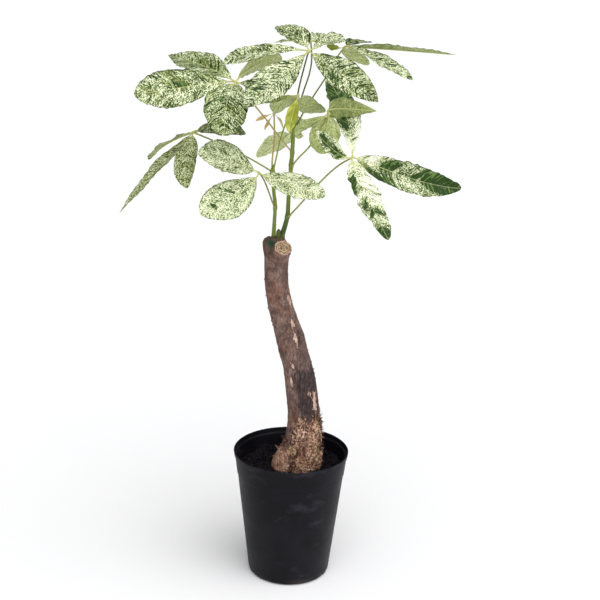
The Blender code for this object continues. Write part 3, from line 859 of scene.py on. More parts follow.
def bark_material():
    """Grey-brown bark with a purple cast, tan where it has peeled and fibrous at the collar."""
    paint = Paint("trunk_bark", 0.85, 0.15)
    peel, collar, shade = paint.fact("skin")
    hollow, lobe, moss = paint.fact("form")
    place = paint.object_place()
    lengthways = paint.vector("MULTIPLY", place, (1.0, 1.0, 0.22))
    strand = paint.noise(lengthways, 0.42, 4.0, 0.65)
    fine = paint.noise(lengthways, 1.3, 3.0, 0.65)
    blotch = paint.noise(place, 0.06, 4.0, 0.6)
    crumb = paint.noise(place, 0.5, 4.0, 0.7)
    red = paint.noise(paint.vector("MULTIPLY", place, (1.0, 1.0, 0.5)), 0.05, 3.0, 0.6).step(0.48, 0.6)

    # Bark, with red zones, paler strands, dark fissures and flakes, and slate: the bark's own low in front,
    # and painted shade on the right side higher up
    base = paint.blend((100, 78, 71), (134, 110, 101), blotch.step(0.4, 0.6))
    base = base.toward((140, 98, 80), 0.6 * red)
    base = base.toward((166, 142, 132), 0.45 * strand.step(0.5, 0.66))
    base = base.toward((74, 54, 50), 0.6 * fine.step(0.46, 0.34))
    flake = (crumb + 0.3 * blotch).step(0.78, 0.84)
    base = base.toward((190, 160, 146), 0.6 * flake)
    slate = paint.blend((36, 31, 33), (78, 68, 70), strand.step(0.4, 0.65))
    slate = slate.toward((150, 132, 124), 0.4 * flake)
    base = base.toward(slate, 0.9 * shade)

    # The collar's fibre, darker in the gaps between its strands with painted shade, and the barer skin of
    # its left lobe
    fibre = paint.ramp(1.2 * (crumb - 0.5) + hollow, FIBRE_COLOURS)
    fibre = fibre.toward((218, 192, 162), 0.5 * fine.step(0.55, 0.65))
    fibre = fibre.toward((120, 78, 60), 0.45 * red)
    fibre = fibre.toward((150, 132, 86), 0.4 * blotch.step(0.5, 0.62))
    root = paint.blend((116, 80, 62), (202, 164, 140), strand.step(0.4, 0.62))
    fibre = fibre.toward(root, 0.75 * lobe)
    # Painted shade in the hollows of the trunk and knob, where the hollow fact is low; on the stub's side
    # and the strips that fact is random, so there it darkens at random
    base = base.toward((54, 40, 38), 0.4 * hollow.step(0.42, 0.2)).toward(fibre, collar)

    # Peeled patches with a dark lip
    tan = paint.blend((152, 116, 100), (206, 180, 164), strand.step(0.38, 0.6))
    base = base.toward(tan, peel.step(0.25, 0.75))
    lip = peel.step(0.02, 0.16) * peel.step(0.6, 0.3)
    base = base.toward((78, 48, 38), 0.75 * lip).toward((28, 66, 50), moss)
    return paint.finish(base, -0.2 * fine + 0.92, 0.8 * strand + 0.8 * fine, 0.9, 0.8)


def cut_material():
    """The sawn end of the old stem: pale wood with rings, cracks and a pinkish rim."""
    paint = Paint("cut_wood", 0.8, 0.3)
    ring, hollow, _ = paint.fact("skin")
    place = paint.object_place()
    mottle = paint.noise(place, 0.3, 4.0, 0.65)
    fine = paint.noise(place, 1.2, 3.0, 0.6)
    wave = paint.math("SINE", 30.0 * (0.45 * mottle + ring))
    base = paint.blend((140, 104, 78), (214, 190, 160), wave.step(-0.7, 0.7))
    base = base.toward((120, 84, 64), mottle.step(0.5, 0.64))
    base = base.toward((238, 222, 196), 0.7 * fine.step(0.55, 0.66))
    # Painted shade where the face lies low, in its cracks
    base = base.toward((84, 54, 44), hollow.step(0.35, 0.1))
    rim = paint.blend((186, 140, 118), (230, 202, 178), fine.step(0.4, 0.6))
    base = base.toward(rim, ring.step(0.84, 0.93))
    return paint.finish(base, 0.8, wave + 2.0 * fine, 0.35, 0.6)


def soil_material():
    """Dark, moist potting soil with a few paler and redder crumbs."""
    paint = Paint("dark_soil", 0.95, 0.08)
    place = paint.object_place()
    lumps = paint.noise(place, 0.22, 4.0, 0.7)
    grit = paint.noise(place, 0.9, 3.0, 0.7)
    red = paint.noise(place, 0.08)
    base = paint.blend((10, 9, 11), (40, 36, 40), lumps.step(0.4, 0.65))
    base = base.toward((84, 78, 82), grit.step(0.62, 0.72))
    base = base.toward((44, 24, 28), 0.5 * red.step(0.6, 0.7))
    return paint.finish(base, 0.95, lumps + grit, 1.5, 0.9)


def pot_material():
    """Near-black plastic with soft handling marks, dust at the foot, and painted shade in the notches."""
    paint = Paint("moulded_pot", 0.45, 0.12)
    place = paint.object_place()
    cloud = paint.noise(place, 0.02, 3.0, 0.55)
    marks = paint.noise(paint.vector("MULTIPLY", place, (1.0, 1.0, 2.2)), 0.022, 3.0, 0.5)
    grain = paint.noise(place, 1.4, 2.0, 0.5)
    base = paint.blend((11, 10, 15), (19, 18, 25), cloud.step(0.35, 0.65))
    base = base.toward((66, 66, 76), 0.35 * marks.step(0.58, 0.72) * grain.step(0.3, 0.6))
    height = paint.split(place)[2]
    base = base.toward((92, 82, 78), 0.35 * height.step(14.0, 2.0) * cloud.step(0.4, 0.6))
    # Painted shade, near black, inside the notches in the foot
    low = height.step(NOTCH_HEIGHT + 1.0, NOTCH_HEIGHT)
    for heading in NOTCH_HEADINGS:
        x, y = math.cos(math.radians(heading)), math.sin(math.radians(heading))
        outward = paint.vector("DOT_PRODUCT", place, (x, y, 0.0), output="Value")
        aside = abs(paint.vector("DOT_PRODUCT", place, (-y, x, 0.0), output="Value"))
        inside = aside.step(NOTCH_HALF_WIDTH + 1.0, NOTCH_HALF_WIDTH) * low
        base = base.toward((2, 2, 3), inside * outward.step(*NOTCH_REACH))
    return paint.finish(base, 0.3 * marks + 0.34, grain, 0.05, 0.3)


def floor_material():
    """A matt white floor."""
    paint = Paint("studio_floor", 0.9, 0.0)
    tone = paint.noise(paint.object_place(), 0.002, 1.0)
    return paint.finish(paint.blend((249, 249, 251), (252, 252, 253), tone))


# Pot


def shade_smooth(piece):
    """Shades a piece of the solids smooth with a modifier, apart from its sharp edges."""
    tree = bpy.data.node_groups.new("smooth_shading", "GeometryNodeTree")
    tree.is_modifier = True
    for way in ("INPUT", "OUTPUT"):
        tree.interface.new_socket("Geometry", in_out=way, socket_type="NodeSocketGeometry")
    bend = add_node(tree, "GeometryNodeInputMeshEdgeAngle").outputs["Unsigned Angle"]
    limit = math.radians(SHARP_DEGREES)
    sharp = add_node(tree, "ShaderNodeMath", bend, limit, operation="GREATER_THAN").outputs[0]
    whole = add_node(tree, "NodeGroupInput")
    whole = add_node(tree, "GeometryNodeMergeByDistance", whole.outputs[0], None, WELD_DISTANCE)
    whole = add_node(tree, "GeometryNodeRemoveAttribute", whole.outputs[0], "custom_normal")
    whole = add_node(tree, "GeometryNodeSetShadeSmooth", whole.outputs[0])
    whole = add_node(tree, "GeometryNodeSetShadeSmooth", whole.outputs[0], sharp, False, domain="EDGE")
    add_node(tree, "NodeGroupOutput", whole.outputs[0])
    piece.modifiers.new("smooth_shading", "NODES").node_group = tree


def dress_pot(pot):
    for slot in pot.material_slots:
        slot.material = pot_material()
    shade_smooth(pot)


# Leaves


def half_width(leaflet, along):
    """Half the blade's width at shares of the way from the hub to the tip."""
    stalk = STALK_LENGTH / leaflet.length
    share = np.clip((along - stalk) / (1.0 - stalk), 0.0, 1.0)
    swell = np.maximum(np.sin(math.pi * share**leaflet.belly), 0.0) ** leaflet.point
    return np.maximum(leaflet.width / 2 * swell, STALK_WIDTH / 2 * (1.0 - share))


def blade_axes(leaflet):
    """The unit vectors along the midrib, across the blade and up from its upper face."""
    heading, rise, roll = (math.radians(turn) for turn in (leaflet.heading, leaflet.rise, leaflet.roll))
    ahead = math.cos(rise) * outward_at(heading) + (0.0, 0.0, math.sin(rise))
    level = unit(np.cross(ahead, (0.0, 0.0, 1.0)))
    lifted = np.cross(level, ahead)
    across = math.cos(roll) * level + math.sin(roll) * lifted
    return ahead, across, np.cross(across, ahead)


def blade_points(leaflet, hub, along, side):
    """Points of the blade's middle sheet at shares along the midrib and out to either edge."""
    ahead, across, above = blade_axes(leaflet)
    eased = along**leaflet.lean
    bow = 4.0 * eased * (1.0 - eased)
    half = half_width(leaflet, along)
    offset = side * half
    shift = np.where(side > 0, WAVE_SHIFT, 0.0)
    ripple = np.sin(2 * math.pi * WAVES_PER_BLADE * along + shift)
    fullness = half / (leaflet.width / 2)
    lift = np.abs(offset) * math.tan(math.radians(FOLD_DEGREES)) + leaflet.wave * ripple * side**2 * fullness
    points = np.array(hub) + (along * leaflet.length)[..., None] * ahead
    points = points + (leaflet.arch * bow + lift)[..., None] * above
    return points + (offset + leaflet.bend * bow)[..., None] * across


def patch_field(patches, along, side):
    """The blade's dark sectors, over 0, and its pale ones, under 0."""
    field = np.zeros(along.shape)
    for middle, aside, long, wide, strength in patches:
        field += strength * bell((along - middle) / long) * bell((side - aside) / wide)
    return field


def blade_sheet(leaflet, hub, along, side, vein, seed, ragged):
    """The blade's middle sheet with crinkled margins and long ripples."""
    sheet = blade_points(leaflet, hub, along, side)
    half = half_width(leaflet, along)
    places = stack(vein / (CRINKLE_LENGTH * ragged**0.5), side, seed * 0.37)
    crinkle = CRINKLE * ragged * half * fractal(places, 2, seed + 20)
    sheet = sheet + (np.sign(side) * side**2 * crinkle)[..., None] * blade_axes(leaflet)[1]
    ripple = 0.7 * fractal(sheet / 17.0, 2, seed + 50) + 0.5 * np.sin(math.pi * vein / VEIN_SPACING + seed)
    return sheet + grid_normals(sheet) * (side**2 * np.minimum(1.0, half / 8.0) * ripple)[..., None]


def add_blade(shell, leaflet, patches, hub, seed, ragged):
    stalk = STALK_LENGTH / leaflet.length
    rows = max(LEAST_ROWS, int(leaflet.length / ROW_SPACING))
    lengthways = np.linspace(stalk * 0.8, 0.997, rows)
    along, side = np.meshgrid(lengthways, np.linspace(-1.0, 1.0, BLADE_COLUMNS), indexing="ij")
    half = half_width(leaflet, along)
    off = side * half
    reach = np.abs(off)
    vein = (along - stalk) * leaflet.length - VEIN_LEAN * reach - VEIN_CURVE * reach**2 / (leaflet.width / 2)
    sheet = blade_sheet(leaflet, hub, along, side, vein, seed, ragged)

    # Puckers between the veins, fine lumps, the furrow above the midrib and the ribs below
    puff = 0.5 - 0.5 * np.cos(2 * math.pi * vein / VEIN_SPACING)
    inner = 1.0 - side**4
    wide = np.minimum(1.0, half / 6.0)
    quilt = QUILT * puff * smooth_step(reach, 0.5, 5.0) * inner
    lumps = 0.22 * fractal(sheet / 3.2, 2, seed + 70) * np.minimum(1.0, half / 8.0)
    furrow = 0.5 * bell(off / 1.3) * wide
    rib = (0.45 * bell(off) + 0.2 * (1.0 - puff) ** 4 * inner) * wide
    thick = BLADE_THICKNESS / 2 * (1.0 - 0.6 * side**4) * np.minimum(1.0, half / 3.0)
    normals = grid_normals(sheet)
    upper = sheet + normals * (quilt + lumps + thick - furrow)[..., None]
    lower = sheet + normals * (quilt + lumps - thick - rib)[..., None]

    patch = patch_field(patches, vein / leaflet.length, side)
    facts = {"vein": stack(vein, off, seed % 97), "tint": stack(leaflet.dark, patch, leaflet.young)}
    above, below = ({**facts, "place": stack(along, np.abs(side), face)} for face in (1.0, 0.0))
    shell.add_sheet(upper, lower, above, below)


def add_midrib(shell, leaflet, hub, tint):
    """The leaflet's stalk, running on as the tapering rib under the blade."""
    rings, sides = MIDRIB_MESH
    stalk = STALK_LENGTH / leaflet.length
    along = np.linspace(0.0, 0.93, rings)
    line = blade_points(leaflet, hub, along, np.zeros(rings))
    scale = min(1.0, leaflet.width / 30.0)
    radii = scale * (1.1 - 0.85 * smooth_step(along, 0.0, 1.0) + 0.35 * bell(along * leaflet.length / 2.5))
    sink = smooth_step(along, stalk * 0.6, stalk * 1.8) * (radii * 0.8 + 0.25)
    shell.add_tube(line - sink[:, None] * blade_axes(leaflet)[2], radii, sides, slot=1, tint=tint)


def add_petiole(shell, leaf):
    """The leaf's own stalk, swollen at its foot, and the hub at its end."""
    rings, sides = PETIOLE_MESH
    share = np.linspace(0.0, 1.0, rings)
    radii = PETIOLE_RADIUS + 0.9 * bell(share / 0.05) + 0.6 * smooth_step(share, 0.93, 1.0)
    tints = stack(leaf.warm, leaf.dim, 0.6 * smooth_step(share, 0.9, 1.0))
    shell.add_tube(smooth_line(leaf.petiole, rings), radii, sides, slot=1, tint=tints[:, None])
    rings, sides = HUB_MESH
    turns = np.linspace(-0.5 * math.pi, 0.5 * math.pi, rings)
    line = leaf.petiole[-1] + stack(0.0, 0.0, np.sin(turns) * HUB_RADIUS * 0.8)
    radii = np.cos(turns) * HUB_RADIUS + 0.05
    shell.add_tube(line, radii, sides, slot=1, tint=(leaf.warm, leaf.dim, 0.7))


def make_leaf(name, leaf, number, materials):
    shell = Shell("vein", "place", "tint")
    hub = leaf.petiole[-1]
    patches = PATCHES.get(name, {})
    add_petiole(shell, leaf)
    for index, leaflet in enumerate(leaf.leaflets):
        seed = LEAF_SEED + 31 * number + 7 * index
        add_blade(shell, leaflet, patches.get(index, ()), hub, seed, leaf.ragged)
        add_midrib(shell, leaflet, hub, (leaf.warm * 0.5, leaf.dim * 0.3, 0.75))
    shell.build(name + "_fine", materials, "variegated_leaf", name)


# Shoots


def make_shoot(name, material):
    """A smooth stem with swollen nodes where its leaves leave it, and a small bud at its tip."""
    rings, sides = SHOOT_MESH
    line = smooth_line(SHOOTS[name], rings)
    centre, radii = line[:, :3], line[:, 3].copy()
    height = centre[:, 2]
    for leaf in LEAVES.values():
        if leaf.shoot == name:
            gap = np.abs(height - leaf.petiole[0][2])
            radii += 0.55 * bell(gap / 4.0) - 0.15 * bell((gap - 5.5) / 0.8)
    share = np.linspace(0.0, 1.0, rings)
    turns = full_turn(sides)
    round_places = stack(np.cos(turns), np.sin(turns), height[:, None] / 9.0)
    bumps = 0.14 * fractal(round_places * 1.3, 2, 5)
    ridges = 0.1 * np.cos(5 * turns) * smooth_step(share, 0.2, 0.5)[:, None]
    shade = SHOOT_SHADES[name] * (1.0 - smooth_step(share, 0.25, 0.6))
    facts = stack(share, 1.0 - smooth_step(height, *FOOT_SCAR), shade)
    shell = Shell("place")
    shell.add_tube(centre, radii[:, None] + bumps + ridges, sides, place=facts[:, None])
    rings, sides = BUD_MESH
    for heading, tall, lean in BUD_SCALES:
        x, y = lean * math.cos(heading), lean * math.sin(heading)
        scale_line = centre[-1] + [(0.0, 0.0, -2.0), (0.6 * x, 0.6 * y, 0.5 * tall), (x, y, tall)]
        radii = np.linspace(1.6, 0.25, rings)
        shell.add_tube(smooth_line(scale_line, rings), radii, sides, place=(1.0, 0.0, 0.0))
    shell.build(name + "_fine", [material], "green_stem", name)


# Trunk, where headings are in degrees

Zones = namedtuple("Zones", "peel collar shade lobe crease front")


def turn_from(heading, start):
    """How far headings lie from a start, from -180 to 180."""
    return (heading - start + 180.0) % 360.0 - 180.0


def root_swell(heading, height, roots=ROOTS):
    """How far the roots push the collar out at headings and heights above its foot."""
    swell = np.zeros(np.broadcast(heading, height).shape)
    for middle, reach, tall, wide in roots:
        around = bell(turn_from(heading, middle) / wide)
        swell += reach * around * np.clip(1.0 - (height / tall) ** 2, 0.0, 1.0)
    return swell


def trunk_centre(height):
    rings = smooth_line(TRUNK_RINGS, TRUNK_SAMPLES)
    return [np.interp(height, rings[:, 2], rings[:, column]) for column in (0, 1, 3)]


def peel_mask(heading, height, radius, places):
    """How much the outer bark has come away, from 0 to 1."""
    mask = np.zeros(heading.shape)
    ragged = 0.5 * fractal(places / (2.6, 2.6, 5.0), 3, 21) + 0.35 * fractal(places / (1.3, 1.3, 2.2), 2, 27)
    for middle, level, wide, tall, pale in PEELS:
        off = np.radians(turn_from(heading, middle)) * radius
        reach = np.hypot(off / wide, (height - level) / tall)
        mask = np.maximum(mask, pale * (1.0 - smooth_step(reach + ragged, 0.6, 1.2)))
    return mask


def moss_mask(places):
    return bell(np.linalg.norm(places - MOSS_PLACE, axis=-1) / MOSS_SIZE)


def collar_top(heading):
    """How high the fibrous collar reaches."""
    facing = smooth_step(heading, *COLLAR_FRONT) + 1.0 - smooth_step(heading, *COLLAR_BACK)
    return COLLAR_BACK_TOP + (COLLAR_TOP - COLLAR_BACK_TOP) * facing


def between(height, low, high):
    """1 between two soft edges, each a pair of heights, and 0 outside them."""
    return smooth_step(height, *low) * (1.0 - smooth_step(height, *high))


def trunk_zones(heading, height, radius, places):
    """Where each kind of skin lies, as shares from 0 to 1."""
    collar_edge = collar_top(heading) + 13.0 * fractal(places / (6.0, 6.0, 14.0), 3, 3)
    lobe = smooth_step(root_swell(heading, height - COLLAR_FOOT, ROOTS[:1]), 2.0, 5.5)
    collar = np.maximum(1.0 - smooth_step(height, collar_edge - 5.0, collar_edge + 2.0), lobe)
    crease_heading = CREASE_HEADING + 0.2 * (height - COLLAR_FOOT) + 5.0 * fractal(places / 9.0, 2, 71)
    crease = bell((heading - crease_heading) / 4.5) * (1.0 - smooth_step(height, *CREASE_END))
    front, right = (bell((heading - middle) / wide) for middle, wide in (FRONT, RIGHT))
    low_shade = smooth_step(front + 0.22 * fractal(places / (12.0, 12.0, 22.0), 3, 8), 0.4, 0.66)
    low_shade = low_shade * between(height, *FRONT_SHADE)
    # Painted shade down the trunk's right side, between the heights in RIGHT_SHADE
    right = right * (0.7 + 0.5 * fractal(places / (8.0, 8.0, 20.0), 2, 18))
    high_shade = 0.85 * right * between(height, *RIGHT_SHADE)
    peel = peel_mask(heading, height, radius, places) * (1.0 - collar)
    return Zones(peel, collar, np.maximum(low_shade, high_shade), lobe, crease, front)


def trunk_relief(zones, heading, height, radius, places):
    """How far the skin stands out, and how little of it lies in hollows, from 0 to 1."""
    warp = 5.0 * stack(*(fractal(places / 13.0, 2, seed) for seed in (60, 63, 66)))
    ridges = 1.0 - np.abs(fractal((places + warp) / (3.0, 3.0, 9.0), 3, 12)) * 1.5
    fibres = 1.0 - np.abs(fractal((places + 1.5 * warp) / (2.7, 2.7, 5.5), 3, 30)) * 1.3
    lumps = fractal(places / (11.0, 11.0, 26.0), 3, 15)
    knots = fractal(places / (5.0, 5.0, 7.0), 3, 33)
    peel, collar = zones.peel, zones.collar
    bark = 0.7 * lumps + (0.4 + 0.5 * zones.shade) * (ridges - 0.7)
    fibre = (1.6 * (fibres - 0.6) + 1.2 * knots) * (1.0 - 0.5 * zones.lobe)
    relief = bark * (1.0 - collar) + fibre * collar - 0.8 * peel + 1.6 * peel * (1.0 - peel)
    relief -= 2.6 * zones.crease
    for middle, level, size in SCARS:
        off = np.radians(turn_from(heading, middle)) * radius
        reach = np.hypot(off, height - level) / size
        relief += 0.9 * np.exp(-((reach - 0.9) ** 2) * 6.0) - 0.8 * bell(reach / 0.5)
    under_stub = smooth_step(height, *UNDER_STUB) * zones.front
    relief += 0.25 * np.sin(height * 2 * math.pi / 3.2 + 2.0 * lumps) * under_stub
    # The hollow fact is low between ridges and fibres and in the crease, where the bark is painted with
    # shade
    hollow = 0.5 + 0.9 * (ridges - 0.75) * (1.0 - collar) + (0.7 * (fibres - 0.6) + 0.2 * knots) * collar
    return relief, np.clip(hollow - 0.6 * zones.crease, 0, 1)


def add_trunk_skin(shell):
    """Bark with fissures and peeled patches above, and a collar of coarse fibre and roots below."""
    heights = np.concatenate([np.linspace(*rows) for rows in TRUNK_ROWS])
    height, angle = np.meshgrid(heights, full_turn(TRUNK_COLUMNS), indexing="ij")
    heading = np.degrees(angle)
    x, y, diameter = (value[:, None] for value in trunk_centre(heights))
    swell = np.where(height >= SWELL_FOOT, root_swell(heading, height - COLLAR_FOOT), 0.0)
    radius = diameter / 2 + swell
    places = stack(x + radius * np.cos(angle), y + radius * np.sin(angle), height)
    zones = trunk_zones(heading, height, radius, places)
    relief, hollow = trunk_relief(zones, heading, height, radius, places)
    skin = stack(zones.peel, zones.collar, zones.shade)
    form = stack(hollow, zones.lobe * zones.collar * (1.0 - zones.crease), moss_mask(places))
    index = shell.add_points(places + outward_at(angle) * relief[..., None], skin=skin, form=form)
    shell.add_round(index)


def add_stub(shell):
    """The side of the old stem's sawn stub, with a torn edge, and then its face."""
    foot, end = np.array(STUB_FOOT, float), np.array(STUB_END, float)
    rows, columns = STUB_MESH
    share = np.linspace(0.0, 1.0, rows)[:, None]
    flat = outward_at(full_turn(columns))
    around = flat * 2.2 + share[..., None] * (0.0, 0.0, 2.0)
    torn_edge = smooth_step(share, 0.75, 1.0) * fractal(around * 3.0, 3, 44)
    bumps = 0.9 * fractal(around, 3, 41) + 0.9 * torn_edge
    grid = tube_grid(foot + share * (end - foot), STUB_RADIUS + bumps, columns)
    hollow = np.clip(0.55 + 0.3 * fractal(around * 4.0, 2, 48), 0, 1)
    index = shell.add_points(grid, form=stack(hollow, 0.0, 0.0))
    shell.add_quads(index, closed=True, flip=True)
    shell.add_ring_cap(index[0])
    add_cut_face(shell, grid[-1], flat, unit(end - foot))


def add_cut_face(shell, rim, flat, axis):
    """The stub's ringed, cracked face, sunk inside a proud lip."""
    middle = rim.mean(axis=0) + (1.2, 0.0, 0.8)
    steps = np.array([*CUT_STEPS, *np.linspace(0.84, 0.0, 34)])[:, None]
    lip = np.interp(steps, *zip(*CUT_LIP))
    face = middle + steps[..., None] * (rim - middle)
    torn = 0.9 * fractal(flat * 6.0 + steps[..., None] * 2.0, 3, 47) * smooth_step(steps, 0.78, 0.95)
    cracks = 1.0 - 2.0 * np.abs(fractal(flat * 2.4 + steps[..., None] * (0.0, 0.0, 3.5), 3, 58))
    grain = 0.45 * fractal(face / 2.0, 3, 52) + 0.16 * np.sin(steps * 48.0) + 0.5 * (cracks - 0.4)
    inner = 1.0 - smooth_step(steps, 0.8, 0.9)
    face = face + axis * (lip + torn + grain * (0.35 + 0.65 * inner))[..., None]
    # The second fact falls where the face lies low, for painted shade in the cracks
    index = shell.add_points(face, skin=stack(steps, np.clip(0.55 + 0.8 * grain, 0, 1), 0.0))
    shell.add_quads(index, closed=True, flip=True, slot=1)


def add_knob(shell, line, seed, shade, slot=0):
    """A rounded burr: a tube with a domed end and a lumpy skin."""
    rings, sides = KNOB_MESH
    line = smooth_line(line, rings)
    around = outward_at(full_turn(sides)) * 1.6 + stack(0.0, 0.0, np.linspace(0, 3, rings))[:, None]
    bumps = fractal(around, 3, seed) + 0.4 * fractal(around * 4.0, 2, seed + 4)
    radii = line[:, 3:4] * (1.0 + 0.09 * bumps)
    moss = moss_mask(tube_grid(line[:, :3], radii, sides))
    # The hollow fact is lower in the knob's hollows, where the bark is painted with shade
    form = stack(np.clip(0.5 + 0.3 * bumps, 0, 1), 0.0, moss)
    facts = {"skin": (0.0, 0.0, shade), "form": form, "place": (0.0, 0.3, 0.7)}
    shell.add_tube(line[:, :3], radii, sides, slot=slot, **facts)


def make_trunk(bark, cut, stem):
    shell = Shell("skin", "form", "place")
    add_trunk_skin(shell)
    add_stub(shell)
    add_knob(shell, KNOB_LINE, 61, 0.35)
    add_knob(shell, BUD_LINE, 66, 0.6, slot=2)
    shell.build("trunk_fine", [bark, cut, stem], "bark", "trunk")


def add_shred(shell, draw, level, angle, length, lift, collar, wide=1.0):
    """One ragged strip, rooted on the trunk and curling away from it."""
    x, y, diameter = trunk_centre(level)
    radius = diameter / 2 + float(root_swell(math.degrees(angle), level - COLLAR_FOOT))
    outward = outward_at(angle)
    sideways = np.array([-math.sin(angle), math.cos(angle), 0.0])
    tilt = draw.normal(0.0, 0.6)
    ahead = math.cos(tilt) * np.array([0.0, 0.0, draw.choice([-1.0, 1.0])]) + math.sin(tilt) * sideways
    share = np.linspace(0.0, 1.0, SHRED_ROWS)
    line = np.array([x, y, level]) + outward * (radius + draw.uniform(-0.6, 0.5))
    line = line + np.outer(share * length, ahead) + np.outer(share**2 * lift, outward)
    line += np.outer(np.sin(share * draw.uniform(3.0, 7.0) + angle) * length * 0.07, sideways)
    half = wide * draw.uniform(0.35, 1.1) * (1.0 - 0.75 * share**2)
    across = half[:, None] * unit(np.cross(ahead, outward) + draw.normal(0.0, 0.4) * outward)
    sheet = np.stack([line - across, line + 0.35 * outward, line + across], axis=1)
    facts = {"skin": (draw.uniform(0.0, 0.25), collar, 0.0), "form": (draw.uniform(0.2, 0.9), 0.0, 0.0)}
    shell.add_sheet(sheet + 0.2 * outward, sheet - 0.2 * outward, facts, facts)


def make_shreds(bark):
    """Ragged strips of old bark and fibre that stand off the collar, with a few flakes above it."""
    draw = np.random.default_rng(SHRED_SEED)
    shell = Shell("skin", "form")
    for _ in range(COLLAR_SHREDS):
        angle = draw.uniform(0.0, 2 * math.pi)
        heading = math.degrees(angle)
        level = draw.uniform(SHRED_FOOT, collar_top(heading) + 4.0)
        lift = draw.uniform(0.0, 1.0) ** 3 * 4.0
        length = draw.uniform(3.0, 11.0)
        if root_swell(heading, level - COLLAR_FOOT, ROOTS[:1]) < LOBE_BARE:
            add_shred(shell, draw, level, angle, length, lift, 1.0)
    for heading, low, high, count in RAGGED_PLACES:
        for _ in range(count):
            angle = math.radians(draw.normal(heading, 9.0))
            lift = draw.uniform(2.0, 6.0)
            level = draw.uniform(low, high)
            add_shred(shell, draw, level, angle, draw.uniform(3.0, 8.0), lift, 1.0, RAGGED_WIDTH)
    for _ in range(BARK_FLAKES):
        level = draw.uniform(COLLAR_TOP, FLAKE_TOP)
        lift = draw.uniform(0.0, 1.3)
        angle = draw.uniform(0.0, 2 * math.pi)
        add_shred(shell, draw, level, angle, draw.uniform(1.5, 5.0), lift, 0.0)
    shell.build("bark_shreds", [bark], "bark")


# Soil


def wall_radius(height):
    """The pot's outer wall radius at a height, without its lip and band."""
    share = (height - CORNER_HEIGHT) / (POT_HEIGHT - CORNER_HEIGHT)
    return WALL_FOOT_RADIUS + (RIM_RADIUS - LIP_PROUD - WALL_FOOT_RADIUS) * share


def soil_top(x, y):
    """The height of the soil's loose surface."""
    places = stack(x, y, 0.0)
    lumps = fractal(places / 17.0, 3, 90) + 0.45 * fractal(places / 4.5, 3, 95)
    from_trunk = np.hypot(x - TRUNK_RINGS[0][0], y - TRUNK_RINGS[0][1])
    return SOIL_LEVEL + SOIL_LUMP * 0.6 * lumps * smooth_step(from_trunk, 26.0, 50.0)


def make_soil(material):
    edge = wall_radius(SOIL_LEVEL) - WALL - GAP
    flat = outward_at(full_turn(SOIL_COLUMNS))
    top = (np.linspace(0.02, 1.0, SOIL_ROWS) * edge)[:, None, None] * flat
    top[..., 2] = soil_top(top[..., 0], top[..., 1])
    shell = Shell()
    index = shell.add_points(top)
    shell.add_quads(index, closed=True, flip=True)
    shell.add_ring_cap(index[0])
    corner = wall_radius(CORNER_HEIGHT) - WALL - GAP
    rings = ((CORNER_HEIGHT, corner), (WALL + GAP, FOOT_RADIUS - WALL))
    low = shell.add_points(np.array([radius * flat + (0.0, 0.0, level) for level, radius in rings]))
    shell.add_quads(np.concatenate([index[-1:], low]), closed=True, flip=True)
    shell.add_ring_cap(low[-1], flip=True)
    shell.build("soil_fine", [material], "potting_soil", "soil")


def make_crumbs(material):
    """Loose lumps and bark chips on the soil."""
    draw = np.random.default_rng(CRUMB_SEED)
    shell = Shell()
    edge = wall_radius(SOIL_LEVEL) - WALL - 3.0
    rings, sides = CRUMB_MESH
    rise = np.linspace(-0.5 * math.pi, 0.5 * math.pi, rings)[:, None]
    turns = full_turn(sides)
    ball = stack(np.cos(rise) * np.cos(turns), np.cos(rise) * np.sin(turns), np.sin(rise))
    for _ in range(CRUMBS):
        reach = edge * math.sqrt(draw.random())
        heading = draw.uniform(0.0, 2 * math.pi)
        x, y = reach * math.cos(heading), reach * math.sin(heading)
        if math.hypot(x - TRUNK_RINGS[3][0], y - TRUNK_RINGS[3][1]) < BARE_SOIL:
            continue
        size = draw.uniform(*CRUMB_SIZE) * draw.uniform(0.4, 1.0)
        stretch = draw.uniform(0.6, 1.3, 3) * (1.0, 1.0, 0.75)
        tilt = np.array(Matrix.Rotation(draw.uniform(0, 3.0), 3, draw.normal(size=3).tolist()))
        bumpy = ball * (1.0 + draw.uniform(-0.22, 0.22, (rings, sides, 1)))
        crumb = (bumpy * size * stretch) @ tilt.T + (x, y, soil_top(x, y) + 0.25 * size)
        shell.add_round(shell.add_points(crumb))
    shell.build("soil_crumbs", [material], "potting_soil")


# Studio


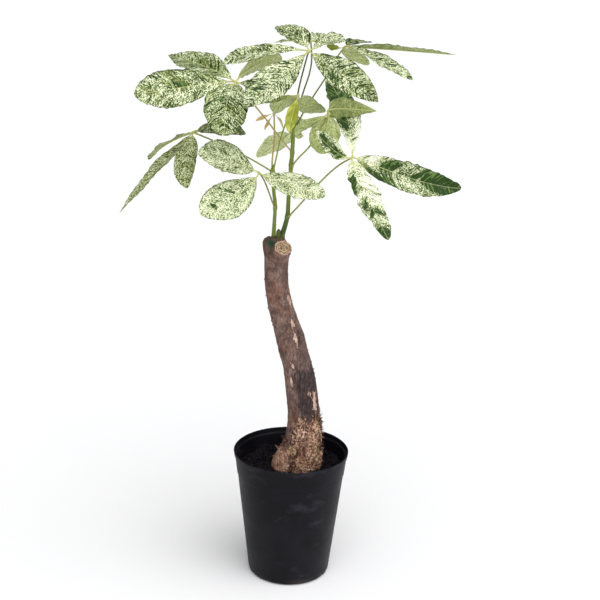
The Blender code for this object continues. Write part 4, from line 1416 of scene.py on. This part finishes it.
def make_camera():
    data = bpy.data.cameras.new("photo_camera")
    data.lens = CAMERA_LENS
    data.sensor_width = SENSOR_WIDTH
    data.clip_end = CLIP_END * MM
    camera = link("photo_camera", data)
    tilt = Matrix.Rotation(math.radians(90.0 - CAMERA_PITCH), 4, "X")
    roll = Matrix.Rotation(math.radians(CAMERA_ROLL), 4, "Z")
    camera.matrix_world = Matrix.Translation([value * MM for value in CAMERA_PLACE]) @ tilt @ roll
    bpy.context.scene.camera = camera


def make_world():
    """A room with one broad soft light, high behind the camera's right shoulder."""
    world = bpy.data.worlds.new("studio")
    world.use_nodes = True
    bpy.context.scene.world = world
    tree = world.node_tree
    direction = add_node(tree, "ShaderNodeTexCoord").outputs["Generated"]
    key = tuple(unit(np.array(KEY_DIRECTION)))
    facing = add_node(tree, "ShaderNodeVectorMath", direction, key, operation="DOT_PRODUCT").outputs["Value"]
    span = (facing, KEY_EDGE, 1.0, ROOM_LIGHT, KEY_LIGHT)
    glow = add_node(tree, "ShaderNodeMapRange", *span, interpolation_type="SMOOTHSTEP").outputs[0]
    # The camera itself sees plain white in place of the light
    seen = add_node(tree, "ShaderNodeLightPath").outputs["Is Camera Ray"]
    strength = add_node(tree, "ShaderNodeMix", seen, None, glow, 1.0).outputs[0]
    back = tree.nodes["Background"]
    back.inputs["Color"].default_value = (1.0, 1.0, 1.0, 1.0)
    feed(tree, back.inputs["Strength"], strength)


def make_floor():
    half = FLOOR_SIZE / 2 * MM
    mesh = bpy.data.meshes.new("studio_floor")
    corners = [(-half, -half, 0), (half, -half, 0), (half, half, 0), (-half, half, 0)]
    mesh.from_pydata(corners, [], [(0, 1, 2, 3)])
    mesh.materials.append(floor_material())
    link("studio_floor", mesh)


def make_studio():
    bpy.context.scene.view_settings.view_transform = "Standard"
    make_world()
    make_floor()


def main():
    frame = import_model()
    make_camera()
    make_studio()
    blade = blade_material()
    stalk = petiole_material()
    bark = bark_material()
    stem = shoot_material()
    earth = soil_material()
    dress_pot(frame["nodes"]["pot"])
    for number, (name, leaf) in enumerate(LEAVES.items()):
        make_leaf(name, leaf, number, [blade, stalk])
    for name in SHOOTS:
        make_shoot(name, stem)
    make_trunk(bark, cut_material(), stem)
    make_shreds(bark)
    make_soil(earth)
    make_crumbs(earth)


main()
